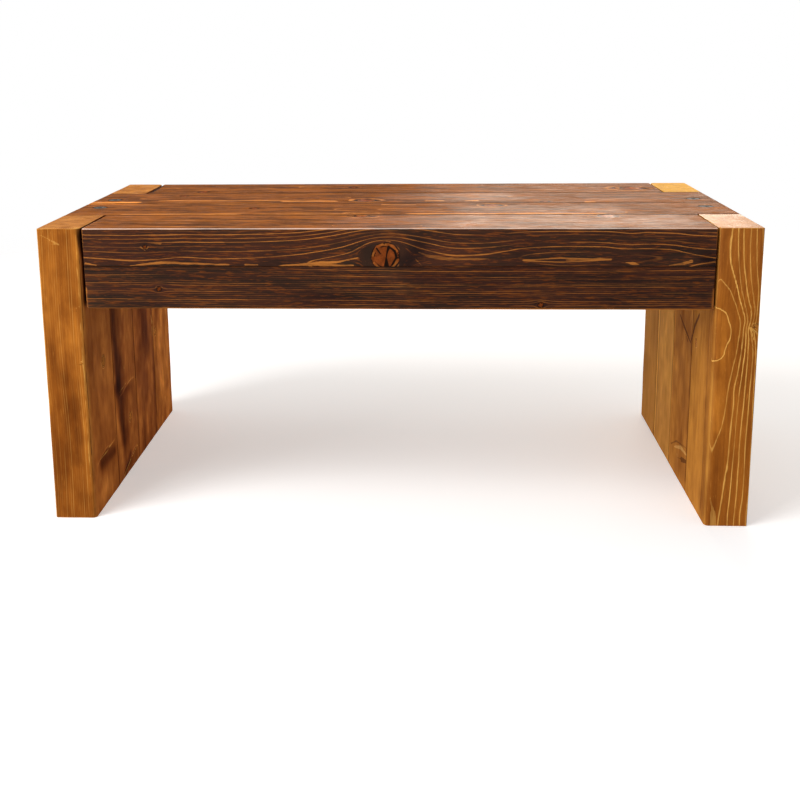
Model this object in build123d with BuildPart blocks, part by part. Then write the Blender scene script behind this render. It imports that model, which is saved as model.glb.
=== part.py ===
"""A heavy plank bench, about knee high, built like a low table.

Four thick planks make the top. The two middle planks run over the legs and are held down by
one long timber screw at each end, its wide flat head let in flush. The front and back planks
stop between the legs and lie on deep rails. Each leg is four planks on end: the two outer ones
rise to the top surface beside the through planks, so that each corner is a finger lap, and the
two inner ones carry the through planks. Dowels join the planks edge to edge and the rails to
the legs.

X runs along the bench, -Y is the front, +Z is up. The origin is on the floor, at the middle
of the bench. All lengths are in millimetres.
"""

import os

from build123d import *

# The bench
bench_length = 1150.0
bench_height = 495.0

# The stock
board_width = 145.0
leg_thickness = 70.0
top_thickness = 62.0
rail_thickness = 70.0
batten_width = 70.0
batten_thickness = 45.0

# The open joints that show at the ends of the front and back planks and rails
left_end_gap = 4.0
right_end_gap = 2.0
batten_end_clearance = 0.5

# Rounded edges: wide at the legs' outer corners, slight where planks meet and at sawn ends
corner_radius = 8.0
top_corner_radius = 2.5
seam_radius = 1.2
end_radius = 0.8
batten_radius = 3.0

# Timber screws, which hold the through planks down on the legs
timber_screw_radius = 5.0
timber_screw_length = 150.0
timber_screw_tip_length = 8.0
timber_screw_tip_radius = 1.5
timber_screw_clearance = 0.5
timber_screw_spacing = 100.0
timber_head_radius = 12.0
timber_head_height = 4.0
timber_head_easing = 0.8
timber_head_sink = 0.3
timber_head_clearance = 0.6
timber_socket_flats = 8.0
timber_socket_depth = 3.2

# Dowels
dowel_radius = 6.0
dowel_length = 80.0
dowel_end_chamfer = 1.5
dowel_clearance = 0.1
dowel_end_room = 2.0
rail_dowel_length = 72.0
rail_dowel_spacing = 80.0
top_dowel_count = 5
top_dowel_end_distance = 65.0
leg_dowel_height_shares = (0.18, 0.46, 0.74)  # of the height of a leg's inner planks

# Wood screws, driven up from below, their flat heads sunk in counterbores
screw_radius = 2.5
screw_tip_length = 6.0
screw_tip_radius = 0.5
screw_head_radius = 5.5
screw_head_height = 3.0
screw_head_easing = 0.8
screw_counterbore_radius = 6.5
rail_screw_length = 80.0
rail_screw_depth = 25.0
rail_screw_count = 4
rail_screw_end_distance = 145.0
batten_screw_length = 70.0
batten_screw_depth = 5.0
batten_screw_spacing = 65.0
batten_end_distance = 225.0

# Places worked out from the sizes
outer_end = bench_length / 2
leg_inside = outer_end - leg_thickness
leg_centre = outer_end - leg_thickness / 2
between_left = -leg_inside + left_end_gap
between_right = leg_inside - right_end_gap
top_underside = bench_height - top_thickness
top_middle = bench_height - top_thickness / 2
rail_underside = top_underside - rail_thickness
rail_middle = top_underside - rail_thickness / 2
batten_underside = top_underside - batten_thickness
outer_plank_centre = board_width * 3 / 2
inner_plank_centre = board_width / 2
timber_head_top = bench_height - timber_head_sink
timber_head_seat = timber_head_top - timber_head_height
timber_screw_end = timber_head_seat - timber_screw_length
dowel_hole_radius = dowel_radius + dowel_clearance
dowel_hole_depth = dowel_length / 2 + dowel_end_room
rail_dowel_hole_depth = rail_dowel_length / 2 + dowel_end_room
rail_screw_reach = rail_screw_length + rail_screw_depth - rail_thickness
batten_screw_reach = batten_screw_length + batten_screw_depth - batten_thickness
batten_span = (board_width - batten_end_clearance) * 2
batten_x = leg_inside - batten_end_distance
timber_screw_ys = (-timber_screw_spacing / 2, timber_screw_spacing / 2)
rail_dowel_offsets = (-rail_dowel_spacing / 2, rail_dowel_spacing / 2)
rail_dowel_xs = (-leg_inside + left_end_gap / 2, leg_inside - right_end_gap / 2)
leg_dowel_zs = [share * top_underside for share in leg_dowel_height_shares]
seams = (-board_width, 0.0, board_width)
plank_centres = {
    "front": -outer_plank_centre,
    "front_middle": -inner_plank_centre,
    "back_middle": inner_plank_centre,
    "back": outer_plank_centre,
}
sides = {"left": -1, "right": 1}


def along_bench(count, end_distance):
    """Places spread evenly between the legs, the first and last end_distance from them."""
    reach = leg_inside - end_distance
    return [reach * (2 * i / (count - 1) - 1) for i in range(count)]


top_dowel_xs = along_bench(top_dowel_count, top_dowel_end_distance)
rail_screw_xs = along_bench(rail_screw_count, rail_screw_end_distance)


def batten_screw_ys(y_centre):
    """The two places across a through plank where a batten's screws enter it."""
    return [y_centre + way * batten_screw_spacing / 2 for way in sides.values()]


def inward_seams(y_centre):
    """The seams on a plank's two edges: the seam's place, and the way from it into the plank."""
    return [(y, 1 if y < y_centre else -1) for y in seams if abs(y - y_centre) < board_width]


def round_plank_section(sketch, y_centre, face_axis):
    """Eases a plank's section: wide on the bench's front or back corner, slight at the seams.
    face_axis is the sketch's own direction across the seams."""
    front = sketch.vertices().group_by(face_axis)[0]
    back = sketch.vertices().group_by(face_axis)[-1]
    outermost = abs(y_centre) > board_width
    fillet(front, corner_radius if outermost and y_centre < 0 else seam_radius)
    fillet(back, corner_radius if outermost and y_centre > 0 else seam_radius)


def round_ends(part, axis):
    """Eases the edges round a plank's two sawn ends."""
    ends = part.faces().sort_by(axis)
    fillet(ends[0].edges() + ends[-1].edges(), end_radius)


def bore_seam_dowels(part, y_centre, places):
    """Bores the dowel holes into a plank's edges. places holds (x, z) of each dowel."""
    for seam, inward in inward_seams(y_centre):
        for x, z in places:
            mouth = Plane(origin=(x, seam, z), z_dir=(0, -inward, 0))
            with Locations(mouth):
                Hole(dowel_hole_radius, depth=dowel_hole_depth)


def through_plank(name):
    """A middle plank of the top, over both legs, with a timber screw let in at each end."""
    y_centre = plank_centres[name]
    timber_screw_y = timber_screw_ys[1] if y_centre > 0 else timber_screw_ys[0]
    with BuildPart() as plank:
        with BuildSketch(Plane.YZ.offset(-outer_end)) as section:
            with Locations((y_centre, top_middle)):
                Rectangle(board_width, top_thickness)
            fillet(section.vertices(), seam_radius)
        extrude(amount=bench_length)
        round_ends(plank, Axis.X)
        for way in sides.values():
            with Locations((way * leg_centre, timber_screw_y, bench_height)):
                CounterBoreHole(
                    timber_screw_radius + timber_screw_clearance,
                    timber_head_radius + timber_head_clearance,
                    bench_height - timber_head_seat,
                    depth=top_thickness,
                )
        bore_seam_dowels(plank, y_centre, [(x, top_middle) for x in top_dowel_xs])
        for way in sides.values():
            for y in batten_screw_ys(y_centre):
                foot = Plane(origin=(way * batten_x, y, top_underside), z_dir=(0, 0, -1))
                with Locations(foot):
                    Hole(screw_radius, depth=batten_screw_reach)
    plank.part.label = f"{name}_top_plank"
    return plank.part


def between_plank(name):
    """The front or back plank of the top, which stops between the legs, on its rail."""
    y_centre = plank_centres[name]
    with BuildPart() as plank:
        with BuildSketch(Plane.YZ.offset(between_left)) as section:
            with Locations((y_centre, top_middle)):
                Rectangle(board_width, top_thickness)
            shown = section.vertices().sort_by(Axis.X)
            shown = shown[:2] if y_centre < 0 else shown[-2:]
            shown_top = shown.sort_by(Axis.Y)[-1]
            others = [v for v in section.vertices() if v != shown_top]
            fillet(shown_top, top_corner_radius)
            fillet(others, seam_radius)
        extrude(amount=between_right - between_left)
        round_ends(plank, Axis.X)
        bore_seam_dowels(plank, y_centre, [(x, top_middle) for x in top_dowel_xs])
        for x in rail_screw_xs:
            with Locations(Plane(origin=(x, y_centre, top_underside), z_dir=(0, 0, -1))):
                Hole(screw_radius, depth=rail_screw_reach)
    plank.part.label = f"{name}_top_plank"
    return plank.part


def rail(name):
    """The deep rail under the front or back plank, dowelled into the two legs."""
    y_centre = plank_centres[name]
    with BuildPart() as bar:
        with BuildSketch(Plane.YZ.offset(between_left)) as section:
            with Locations((y_centre, rail_middle)):
                Rectangle(board_width, rail_thickness)
            upper = section.vertices().group_by(Axis.Y)[-1]
            lower = section.vertices().group_by(Axis.Y)[0]
            fillet(upper, seam_radius)
            fillet(lower, top_corner_radius)
        extrude(amount=between_right - between_left)
        round_ends(bar, Axis.X)
        for x, outward, gap in (
            (between_left, -1, left_end_gap),
            (between_right, 1, right_end_gap),
        ):
            for offset in rail_dowel_offsets:
                mouth = Plane(origin=(x, y_centre + offset, rail_middle), z_dir=(outward, 0, 0))
                with Locations(mouth):
                    Hole(dowel_hole_radius, depth=rail_dowel_hole_depth - gap / 2)
        for x in rail_screw_xs:
            with Locations(Plane(origin=(x, y_centre, rail_underside), z_dir=(0, 0, -1))):
                CounterBoreHole(
                    screw_radius,
                    screw_counterbore_radius,
                    rail_screw_depth,
                    depth=rail_thickness,
                )
    bar.part.label = f"{name}_rail"
    return bar.part


def leg_plank(side, name):
    """One upright plank of a leg. The outer two rise beside the through planks to the top
    surface, and the inner two stop below them and take the timber screws."""
    y_centre = plank_centres[name]
    way = sides[side]
    outer = name in ("front", "back")
    with BuildPart() as plank:
        with BuildSketch(Plane.XY) as section:
            with Locations((way * leg_centre, y_centre)):
                Rectangle(leg_thickness, board_width)
            round_plank_section(section, y_centre, Axis.Y)
        extrude(amount=bench_height if outer else top_underside)
        round_ends(plank, Axis.Z)
        bore_seam_dowels(plank, y_centre, [(way * leg_centre, z) for z in leg_dowel_zs])
        if outer:
            gap = right_end_gap if way > 0 else left_end_gap
            for offset in rail_dowel_offsets:
                origin = (way * leg_inside, y_centre + offset, rail_middle)
                with Locations(Plane(origin=origin, z_dir=(-way, 0, 0))):
                    Hole(dowel_hole_radius, depth=rail_dowel_hole_depth - gap / 2)
        else:
            timber_screw_y = timber_screw_ys[1] if y_centre > 0 else timber_screw_ys[0]
            with Locations((way * leg_centre, timber_screw_y, top_underside)):
                Hole(timber_screw_radius, depth=top_underside - timber_screw_end)
    plank.part.label = f"{side}_leg_{name}_plank"
    return plank.part


def cross_batten(side):
    """A batten under the through planks, between the two rails."""
    x = sides[side] * batten_x
    with BuildPart() as batten:
        with BuildSketch(Plane.XZ.offset(-batten_span / 2)) as section:
            with Locations((x, top_underside - batten_thickness / 2)):
                Rectangle(batten_width, batten_thickness)
            lower = section.vertices().group_by(Axis.Y)[0]
            fillet(lower, batten_radius)
        extrude(amount=batten_span)
        for y in batten_screw_ys(-inner_plank_centre) + batten_screw_ys(inner_plank_centre):
            with Locations(Plane(origin=(x, y, batten_underside), z_dir=(0, 0, -1))):
                CounterBoreHole(
                    screw_radius,
                    screw_counterbore_radius,
                    batten_screw_depth,
                    depth=batten_thickness,
                )
    batten.part.label = f"{side}_cross_batten"
    return batten.part


def dowel(origin, direction, length):
    """A fluteless dowel pin with chamfered ends, centred on origin."""
    with BuildPart(Plane(origin=origin, z_dir=direction)) as pin:
        Cylinder(dowel_radius, length)
        chamfer(pin.edges().filter_by(GeomType.CIRCLE), dowel_end_chamfer)
    return pin.part


def wood_screw(seat, length):
    """A wood screw that points up, its flat head below its seat."""
    with BuildPart() as screw:
        with BuildSketch(Plane.XZ):
            with BuildLine():
                Polyline(
                    (0, -screw_head_height),
                    (screw_head_radius - screw_head_easing, -screw_head_height),
                    (screw_head_radius, -screw_head_height + screw_head_easing),
                    (screw_head_radius, 0),
                    (screw_radius, 0),
                    (screw_radius, length - screw_tip_length),
                    (screw_tip_radius, length),
                    (0, length),
                    close=True,
                )
            make_face()
        revolve(axis=Axis.Z)
    return screw.part.moved(Location(seat))


def timber_screw(x, y):
    """A long screw that points down, with a wide flat head and a six-sided socket in it."""
    with BuildPart() as screw:
        with BuildSketch(Plane.XZ):
            with BuildLine():
                Polyline(
                    (0, timber_head_top),
                    (timber_head_radius - timber_head_easing, timber_head_top),
                    (timber_head_radius, timber_head_top - timber_head_easing),
                    (timber_head_radius, timber_head_seat),
                    (timber_screw_radius, timber_head_seat),
                    (timber_screw_radius, timber_screw_end + timber_screw_tip_length),
                    (timber_screw_tip_radius, timber_screw_end),
                    (0, timber_screw_end),
                    close=True,
                )
            make_face()
        revolve(axis=Axis.Z)
        with BuildSketch(Plane.XY.offset(timber_head_top)):
            RegularPolygon(timber_socket_flats / 2, 6, major_radius=False)
        extrude(amount=-timber_socket_depth, mode=Mode.SUBTRACT)
    return screw.part.moved(Location((x, y, 0)))


nodes = {}
for name in ("front_middle", "back_middle"):
    nodes[f"{name}_top_plank"] = [through_plank(name)]
for name in ("front", "back"):
    nodes[f"{name}_top_plank"] = [between_plank(name)]
    nodes[f"{name}_rail"] = [rail(name)]
for side, way in sides.items():
    for name in plank_centres:
        nodes[f"{side}_leg_{name}_plank"] = [leg_plank(side, name)]
    nodes[f"{side}_cross_batten"] = [cross_batten(side)]
    nodes[f"{side}_timber_screws"] = [timber_screw(way * leg_centre, y) for y in timber_screw_ys]
    nodes[f"{side}_leg_dowels"] = [
        dowel((way * leg_centre, seam, z), (0, 1, 0), dowel_length)
        for seam in seams
        for z in leg_dowel_zs
    ]
    nodes[f"{side}_batten_screws"] = [
        wood_screw((way * batten_x, y, batten_underside + batten_screw_depth), batten_screw_length)
        for centre in (-inner_plank_centre, inner_plank_centre)
        for y in batten_screw_ys(centre)
    ]
nodes["top_dowels"] = [
    dowel((x, seam, top_middle), (0, 1, 0), dowel_length)
    for seam in seams
    for x in top_dowel_xs
]
for name in ("front", "back"):
    y_centre = plank_centres[name]
    nodes[f"{name}_rail_dowels"] = [
        dowel((x, y_centre + offset, rail_middle), (1, 0, 0), rail_dowel_length)
        for x in rail_dowel_xs
        for offset in rail_dowel_offsets
    ]
    nodes[f"{name}_rail_screws"] = [
        wood_screw((x, y_centre, rail_underside + rail_screw_depth), rail_screw_length)
        for x in rail_screw_xs
    ]

os.makedirs("parts", exist_ok=True)
for name, solids in nodes.items():
    piece = solids[0] if len(solids) == 1 else Compound(children=solids)
    piece.label = name
    export_step(piece, f"parts/{name}.step")
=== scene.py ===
"""A heavy plank bench, dark on top and honey-coloured on its legs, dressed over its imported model.

Each plank is one closed surface worked out with numpy. Its grain is a field in space: growth
rings round a wandering pith, turned aside by knots. The field is kept on the mesh as attributes,
and the stains paint it, so the figure runs on round every edge and shows as rings on sawn ends.
"""

import bpy
import numpy as np
from mathutils import Matrix, Vector


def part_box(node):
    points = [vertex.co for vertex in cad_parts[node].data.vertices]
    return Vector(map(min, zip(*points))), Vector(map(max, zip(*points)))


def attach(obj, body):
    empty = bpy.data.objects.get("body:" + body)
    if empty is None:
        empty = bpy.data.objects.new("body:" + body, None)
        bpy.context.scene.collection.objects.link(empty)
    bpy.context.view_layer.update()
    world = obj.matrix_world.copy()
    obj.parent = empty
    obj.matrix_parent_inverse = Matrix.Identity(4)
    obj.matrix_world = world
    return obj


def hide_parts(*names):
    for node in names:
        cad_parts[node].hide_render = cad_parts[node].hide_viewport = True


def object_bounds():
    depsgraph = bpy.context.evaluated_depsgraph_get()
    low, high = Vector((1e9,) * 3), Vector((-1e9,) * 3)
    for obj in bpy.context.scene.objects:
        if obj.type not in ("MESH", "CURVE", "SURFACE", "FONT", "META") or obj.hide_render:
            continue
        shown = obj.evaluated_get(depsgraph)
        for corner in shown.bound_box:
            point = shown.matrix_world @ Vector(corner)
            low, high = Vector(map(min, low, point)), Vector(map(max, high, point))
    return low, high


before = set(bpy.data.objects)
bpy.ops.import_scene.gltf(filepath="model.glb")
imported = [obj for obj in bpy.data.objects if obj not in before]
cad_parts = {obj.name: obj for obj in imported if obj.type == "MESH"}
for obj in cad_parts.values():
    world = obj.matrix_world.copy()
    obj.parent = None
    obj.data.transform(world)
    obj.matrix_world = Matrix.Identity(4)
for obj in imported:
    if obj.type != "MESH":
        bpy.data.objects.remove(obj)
cad_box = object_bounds()
MM = 0.001
FRONT_Y, TOP_Z = cad_box[0][1], cad_box[1][2]
LEFT_INSIDE, RIGHT_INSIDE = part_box("left_leg_front_plank")[1][0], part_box("right_leg_front_plank")[0][0]
# How far past a whole ring number its pale line runs
LINE_AT = 0.78


# Noise and curves

def lattice_random(i, j, k, seed):
    """A random number from 0 to 1 for each whole-number place, mixed from its three indices."""
    h = (i * 73856093) ^ (j * 19349663) ^ (k * 83492791) ^ (seed * 40503431)
    h = ((h & 0xFFFFFFFF) ^ ((h & 0xFFFFFFFF) >> 13)) * 1274126177 & 0xFFFFFFFF
    return (h ^ (h >> 16)) / 4294967295.0


def soft_noise(places, cell, seed):
    """Smooth noise from -1 to 1: random values on a grid of cells, blended between the eight
    corners of each cell with an S-shaped weight. cell is a size or one size for each axis."""
    p = places / cell
    base = np.floor(p).astype(np.int64)
    f = p - base
    f = f * f * (3 - 2 * f)
    total = np.zeros(len(p))
    for corner in range(8):
        step = np.array([corner & 1, corner >> 1 & 1, corner >> 2 & 1])
        weight = np.prod(np.where(step == 1, f, 1 - f), axis=1)
        total += weight * lattice_random(*(base + step).T, seed)
    return total * 2 - 1


def ramp(low, high, x):
    """0 below low, 1 above high, an S-shaped rise between."""
    t = np.clip((x - low) / (high - low), 0, 1)
    return t * t * (3 - 2 * t)


def flow(x, places, values):
    """A smooth curve through (places, values): cubic pieces whose slope at each point is that of
    the line between its two neighbours."""
    slopes = np.gradient(values, places)
    k = np.clip(np.searchsorted(places, x) - 1, 0, len(places) - 2)
    width = places[k + 1] - places[k]
    t = np.clip((x - places[k]) / width, 0, 1)
    return ((1 + 2 * t) * (1 - t) ** 2 * values[k] + t * (1 - t) ** 2 * width * slopes[k]
            + t * t * (3 - 2 * t) * values[k + 1] + t * t * (t - 1) * width * slopes[k + 1])


def segment_distance(places, start, end):
    """How far each place lies from a straight stroke, and how far along the stroke, 0 to 1."""
    start = np.array(start)
    way = np.array(end) - start
    along = np.clip((places - start) @ way / max(way @ way, 1e-12), 0, 1)
    return np.linalg.norm(places - start - along[:, None] * way, axis=1), along


def deepen(field, depth, fill):
    """Where one tongue lies deeper than those before it, it gives the field its depth and fill."""
    deeper = depth > field[:, 0]
    field[deeper, 0] = depth[deeper]
    field[deeper, 1] = np.broadcast_to(fill, depth.shape)[deeper]


def tongue_field(places, plank):
    """How deep each place lies inside the nearest tongue of pale wood, in millimetres, how far
    that tongue is filled with pale wood (above 1: strongly, below 0: with dark), and how deep it
    lies in a loop, whose edge alone shows. Each is a stroke whose half width changes evenly along
    it. On the top a stroke is worn: it narrows to its ends and unevenly between them.
    An eye is a worn ring on the top: the distance from its middle, scaled to 1 on the ring, less 1.
    A bay is a loop on an upright plank's front, bounded by a smooth curve through (height, X): the
    distance from the curve in X over its steepness, the square root of one plus its slope squared."""
    field = np.tile([-9.0, 0.0, -9.0], (len(places), 1))
    on_top = ramp(TOP_Z - 3 * MM, TOP_Z - MM, places[:, 2])
    worn = soft_noise(places, (0.045, 0.008, 0.02), 57)
    worn += 0.8 * soft_noise(places, (0.014, 0.005, 0.02), 58)
    broken = soft_noise(places, (0.022, 0.014, 0.02), 61)
    for rows in plank["bays"]:
        rows = np.array(rows) * MM
        reach = flow(places[:, 2], rows[:, 0], rows[:, 1])
        slope = (flow(places[:, 2] + MM, rows[:, 0], rows[:, 1]) - reach) / MM
        depth = (reach - places[:, 0]) / np.sqrt(1 + slope ** 2) / MM
        depth -= 40 * ramp(6 * MM, 20 * MM, np.abs(places[:, 1] - FRONT_Y))
        field[:, 2] = np.maximum(field[:, 2], depth)
    for x, y, half_length, half_width, half_line, fill in plank["eyes"]:
        off_x, off_y = places[:, 0] - x * MM, places[:, 1] - y * MM
        scaled = np.hypot(off_x / half_length, off_y / half_width) / MM
        from_middle = np.hypot(off_x, off_y) / MM
        off_ring = np.abs(scaled * (1 + 0.16 * broken) - 1) * from_middle / np.maximum(scaled, 0.1)
        deepen(field, half_line * (1 + 0.7 * worn) - off_ring - 9 * (1 - on_top),
               fill * ramp(-0.65, 0.35, broken))
    for start, end, half_start, half_end, fill in plank["tongues"]:
        distance, along = segment_distance(places, start, end)
        ends = ramp(0, 0.10, along) * ramp(0, 0.10, 1 - along)
        half = half_start + (half_end - half_start) * along
        half *= 1 - on_top * (1 - ends * (1.0 + 0.50 * worn))
        deepen(field, half - distance / MM, fill)
    for start, end, half_start, half_end in plank["loops"]:
        distance, along = segment_distance(places, start, end)
        depth = half_start + (half_end - half_start) * along - distance / MM
        field[:, 2] = np.maximum(field[:, 2], depth)
    return field


def facing(out, axis, side):
    """1 on the face that looks along an axis to this side, 0 on the others, soft between."""
    return ramp(0.60, 0.72, out[:, axis] * side)


def own_face(start, end, low, high, out):
    """1 on the face of the box low-high that a stroke lies on, and 0 on the faces beside it."""
    for axis in range(3):
        for side, level in ((-1, low[axis]), (1, high[axis])):
            if max(abs(start[axis] - level), abs(end[axis] - level)) < 0.5 * MM:
                return ramp(0.35, 0.70, out[:, axis] * side)
    return 1.0


# The surface of a plank

def grid_lines(low, high, step, edge, finer=()):
    """Places from low to high about step apart, crowded within edge of both ends and by extra
    round each (place, reach, extra) of finer: equal steps along a crowding curve's total."""
    s = np.linspace(low, high, 4001)
    crowd = 1 + 4 * np.exp(-(np.minimum(s - low, high - s) / edge) ** 2)
    for place, reach, extra in finer:
        crowd += extra * np.exp(-((s - place) / reach) ** 2)
    total = np.concatenate([[0], np.cumsum((crowd[1:] + crowd[:-1]) / 2 * np.diff(s))]) / step
    return np.interp(np.linspace(0, total[-1], int(total[-1]) + 1), total, s)


def block_shell(lines_a, lines_b, lines_c):
    """The skin of a block of grid lines: its points as whole arrays, and its four-sided faces,
    which share their points along the block's edges and point outwards."""
    shape = (len(lines_a), len(lines_b), len(lines_c))
    i, j, k = np.indices(shape)
    skin = (i == 0) | (i == shape[0] - 1) | (j == 0) | (j == shape[1] - 1)
    skin |= (k == 0) | (k == shape[2] - 1)
    number = np.full(shape, -1)
    number[skin] = np.arange(skin.sum())
    faces = []
    for axis in range(3):
        for last in (False, True):
            sheet = np.take(number, -1 if last else 0, axis=axis)
            if axis == 1:
                sheet = sheet.T
            quad = [sheet[:-1, :-1], sheet[1:, :-1], sheet[1:, 1:], sheet[:-1, 1:]]
            if not last:
                quad.reverse()
            faces.append(np.stack(quad, axis=-1).reshape(-1, 4))
    return (lines_a[i[skin]], lines_b[j[skin]], lines_c[k[skin]]), np.concatenate(faces)


def rounded_plank(a, b, c, corner, end_ease, wear_seed):
    """Rounds a block's skin. Across the plank, the square of side r at each corner is bent into a
    quarter disc of radius r, ring by ring. The ends are rounded the same way, in the plane of the
    plank's length and its inward distance. r and the end's radius wander along the edges.
    Gives the new places, the outward direction, how close each point is to the middle of a
    rounding, how far it lies from the nearest long corner, and which corner that is."""
    mid_b, mid_c = (b.min() + b.max()) / 2, (c.min() + c.max()) / 2
    half_b, half_c = (b.max() - b.min()) / 2, (c.max() - c.min()) / 2
    side_b, side_c = np.sign(b - mid_b), np.sign(c - mid_c)
    which = (side_b > 0).astype(int) + 2 * (side_c > 0).astype(int)
    at_edge = np.stack([a, side_b * 0.31, side_c * 0.47], axis=1)
    wander = soft_noise(at_edge, (0.05, 0.2, 0.2), wear_seed)
    fine = soft_noise(at_edge, (0.012, 0.2, 0.2), wear_seed + 1)
    r = np.asarray(corner)[which] * (1 + 0.22 * wander + 0.10 * fine)
    over_b, over_c = np.abs(b - mid_b) - (half_b - r), np.abs(c - mid_c) - (half_c - r)
    in_corner = (over_b > 0) & (over_c > 0)
    ring = np.maximum(over_b, over_c)
    length = np.hypot(over_b, over_c) + 1e-12
    new_b = np.where(in_corner, mid_b + side_b * (half_b - r + over_b / length * ring), b)
    new_c = np.where(in_corner, mid_c + side_c * (half_c - r + over_c / length * ring), c)
    from_b, from_c = half_b - np.abs(b - mid_b), half_c - np.abs(c - mid_c)
    inward = np.where(in_corner, r - ring, np.minimum(from_b, from_c))
    out_b = np.where(in_corner, over_b / length, (from_b <= from_c) * 1.0) * side_b
    out_c = np.where(in_corner, over_c / length, (from_b > from_c) * 1.0) * side_c
    e = end_ease * (1 + 0.3 * soft_noise(np.stack([b, c, np.sign(a)], axis=1), 0.02, wear_seed + 2))
    side_a = np.where(a > (a.min() + a.max()) / 2, 1.0, -1.0)
    from_end = np.minimum(a - a.min(), a.max() - a)
    over_out, over_a = e - inward, e - from_end
    at_end = (over_out > 0) & (over_a > 0)
    ring_end = np.maximum(over_out, over_a)
    length_end = np.hypot(over_out, over_a) + 1e-12
    shift_out = np.where(at_end, over_out / length_end * ring_end - over_out, 0)
    shift_a = np.where(at_end, over_a / length_end * ring_end - over_a, 0)
    new_a = a + side_a * shift_a
    new_b += out_b * shift_out
    new_c += out_c * shift_out
    flat_end = (from_end < 1e-9) & ~at_end
    out = np.stack([
        np.where(at_end, over_a / length_end, flat_end * 1.0) * side_a,
        np.where(at_end, over_out / length_end, ~flat_end * 1.0) * out_b,
        np.where(at_end, over_out / length_end, ~flat_end * 1.0) * out_c,
    ], axis=1)
    across_edge = np.where(in_corner, 1 - np.abs(over_b - over_c) / (r + 1e-9), 0)
    end_edge = np.where(at_end, 1 - np.abs(over_out - over_a) / (e + 1e-9), 0)
    rounded = np.clip(1.5 * np.maximum(across_edge, end_edge), 0, 1)
    return np.stack([new_a, new_b, new_c], axis=1), out, rounded, np.maximum(from_b, from_c), which


def grain_field(p, plank):
    """The wood's figure at each place. A knot turns the fibres aside as a round post turns a
    stream: the distance across from its middle is scaled by one less (radius / distance) squared.
    The growth ring is then the distance from the wandering pith over the ring spacing, or comes
    from the lines drawn for the plank. A knot's heart may be smaller than what turns the fibres.
    Gives the turned place, the ring number, and of the nearest heart the place in its own radii,
    how near it is, and the size that its marks are drawn for."""
    a = p[:, 0]
    rows = np.array(plank["pith"])
    seed = plank["seed"]
    pith_b = flow(a, rows[:, 0], rows[:, 1])
    pith_c = flow(a, rows[:, 0], rows[:, 2])
    turned = p.copy()
    knot = np.tile([9.0, 9.0, 0.0, 0.01], (len(p), 1))
    nearest = np.full(len(p), 1e9)
    for place, across, radius, face, *heart in plank["knots"]:
        column = 2 if face[0] == "b" else 1
        depth = (p[:, 1] - pith_b) if face[0] == "b" else (p[:, 2] - pith_c)
        shown = ramp(-0.006, 0.010, depth if face[1] == "+" else -depth)
        da, dx = a - place, turned[:, column] - across
        wide = np.hypot(da / 1.7, dx)
        turn = np.clip(radius ** 2 / np.maximum(wide ** 2, 1e-9), 0, 1)
        turned[:, column] -= shown * dx * turn
        dx = p[:, column] - across
        radius *= heart[0] if heart else 1
        round_off = np.hypot(da, dx) / radius + (1 - shown) * 20
        closer = round_off < nearest
        nearest = np.where(closer, round_off, nearest)
        near = np.clip((4 - round_off) / 1.5, 0, 1)
        size = radius / plank["knot_coarse"] if face == "c+" else radius
        own = np.stack([da / radius, dx / radius, near, np.full(len(p), size)], axis=1)
        knot[closer] = own[closer]
    if len(plank["drawn"]):
        return turned, drawn_rings(p, plank["drawn"]), knot
    wander = 0.30 * soft_noise(turned, (0.22, 0.05, 0.05), seed)
    wander += 0.10 * soft_noise(turned, (0.06, 0.02, 0.02), seed + 5)
    ring = np.hypot(turned[:, 1] - pith_b, turned[:, 2] - pith_c) / plank["spacing"] + plank["phase"]
    return turned, ring + wander * plank["wander"], knot


def drawn_rings(p, rows):
    """Ring numbers that put the pale lines where rows of a height and the X of each line, in
    millimetres, say on an upright plank's front: even steps between two lines, and one more ring
    for each 6 mm of depth behind the front."""
    rows = np.array(rows) * MM
    lines = [flow(p[:, 0], rows[:, 0], rows[:, k]) for k in range(1, rows.shape[1])]
    lines = np.stack(lines, axis=1)
    steps = np.maximum(np.diff(lines, axis=1), 1.5 * MM)
    k = np.clip((p[:, 1:2] > lines).sum(axis=1) - 1, 0, steps.shape[1] - 1)[:, None]
    first, step = np.take_along_axis(lines, k, 1)[:, 0], np.take_along_axis(steps, k, 1)[:, 0]
    return k[:, 0] + (p[:, 1] - first) / step + LINE_AT + (p[:, 2] - FRONT_Y) / (6 * MM)


def ring_rate(p, out, ring, plank):
    """How many rings pass for each millimetre along the surface: the ring's slope in space, found
    from a half-millimetre step along each axis, less its part along the outward direction."""
    step = 0.5 * MM
    slope = [(grain_field(p + step * axis, plank)[1] - ring) / step for axis in np.eye(3)]
    slope = np.stack(slope, axis=1)
    slope -= out * np.sum(slope * out, axis=1)[:, None]
    return np.linalg.norm(slope, axis=1) * MM


# Each plank's own axes: a along the grain, b and c across it. The rows give the order of X, Y
# and Z in which a plank's a, b and c are found, and the order that turns them back.
OWN_AXES = {"x": (0, 1, 2), "y": (1, 2, 0), "z": (2, 0, 1)}
BACK_AXES = {"x": (0, 1, 2), "y": (2, 0, 1), "z": (1, 2, 0)}


def plank_block(low, high, plank):
    """The block's skin, its lines crowded round knots and screw holes."""
    near_knots = [(place, 3 * radius, 0.8) for place, _, radius, *_ in plank["knots"]]
    near_holes = [(place, HOLE_REACH, 2.5) for place, _ in plank["screw_holes"]]
    beside_holes = [(across, HOLE_REACH, 2.5) for _, across in plank["screw_holes"][:1]]
    step = plank["step"]
    return block_shell(
        grid_lines(low[0], high[0], step, 4 * MM, near_knots + near_holes),
        grid_lines(low[1], high[1], step, 5 * MM, beside_holes),
        grid_lines(low[2], high[2], step, 5 * MM, plank["finer_c"]),
    )


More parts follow.
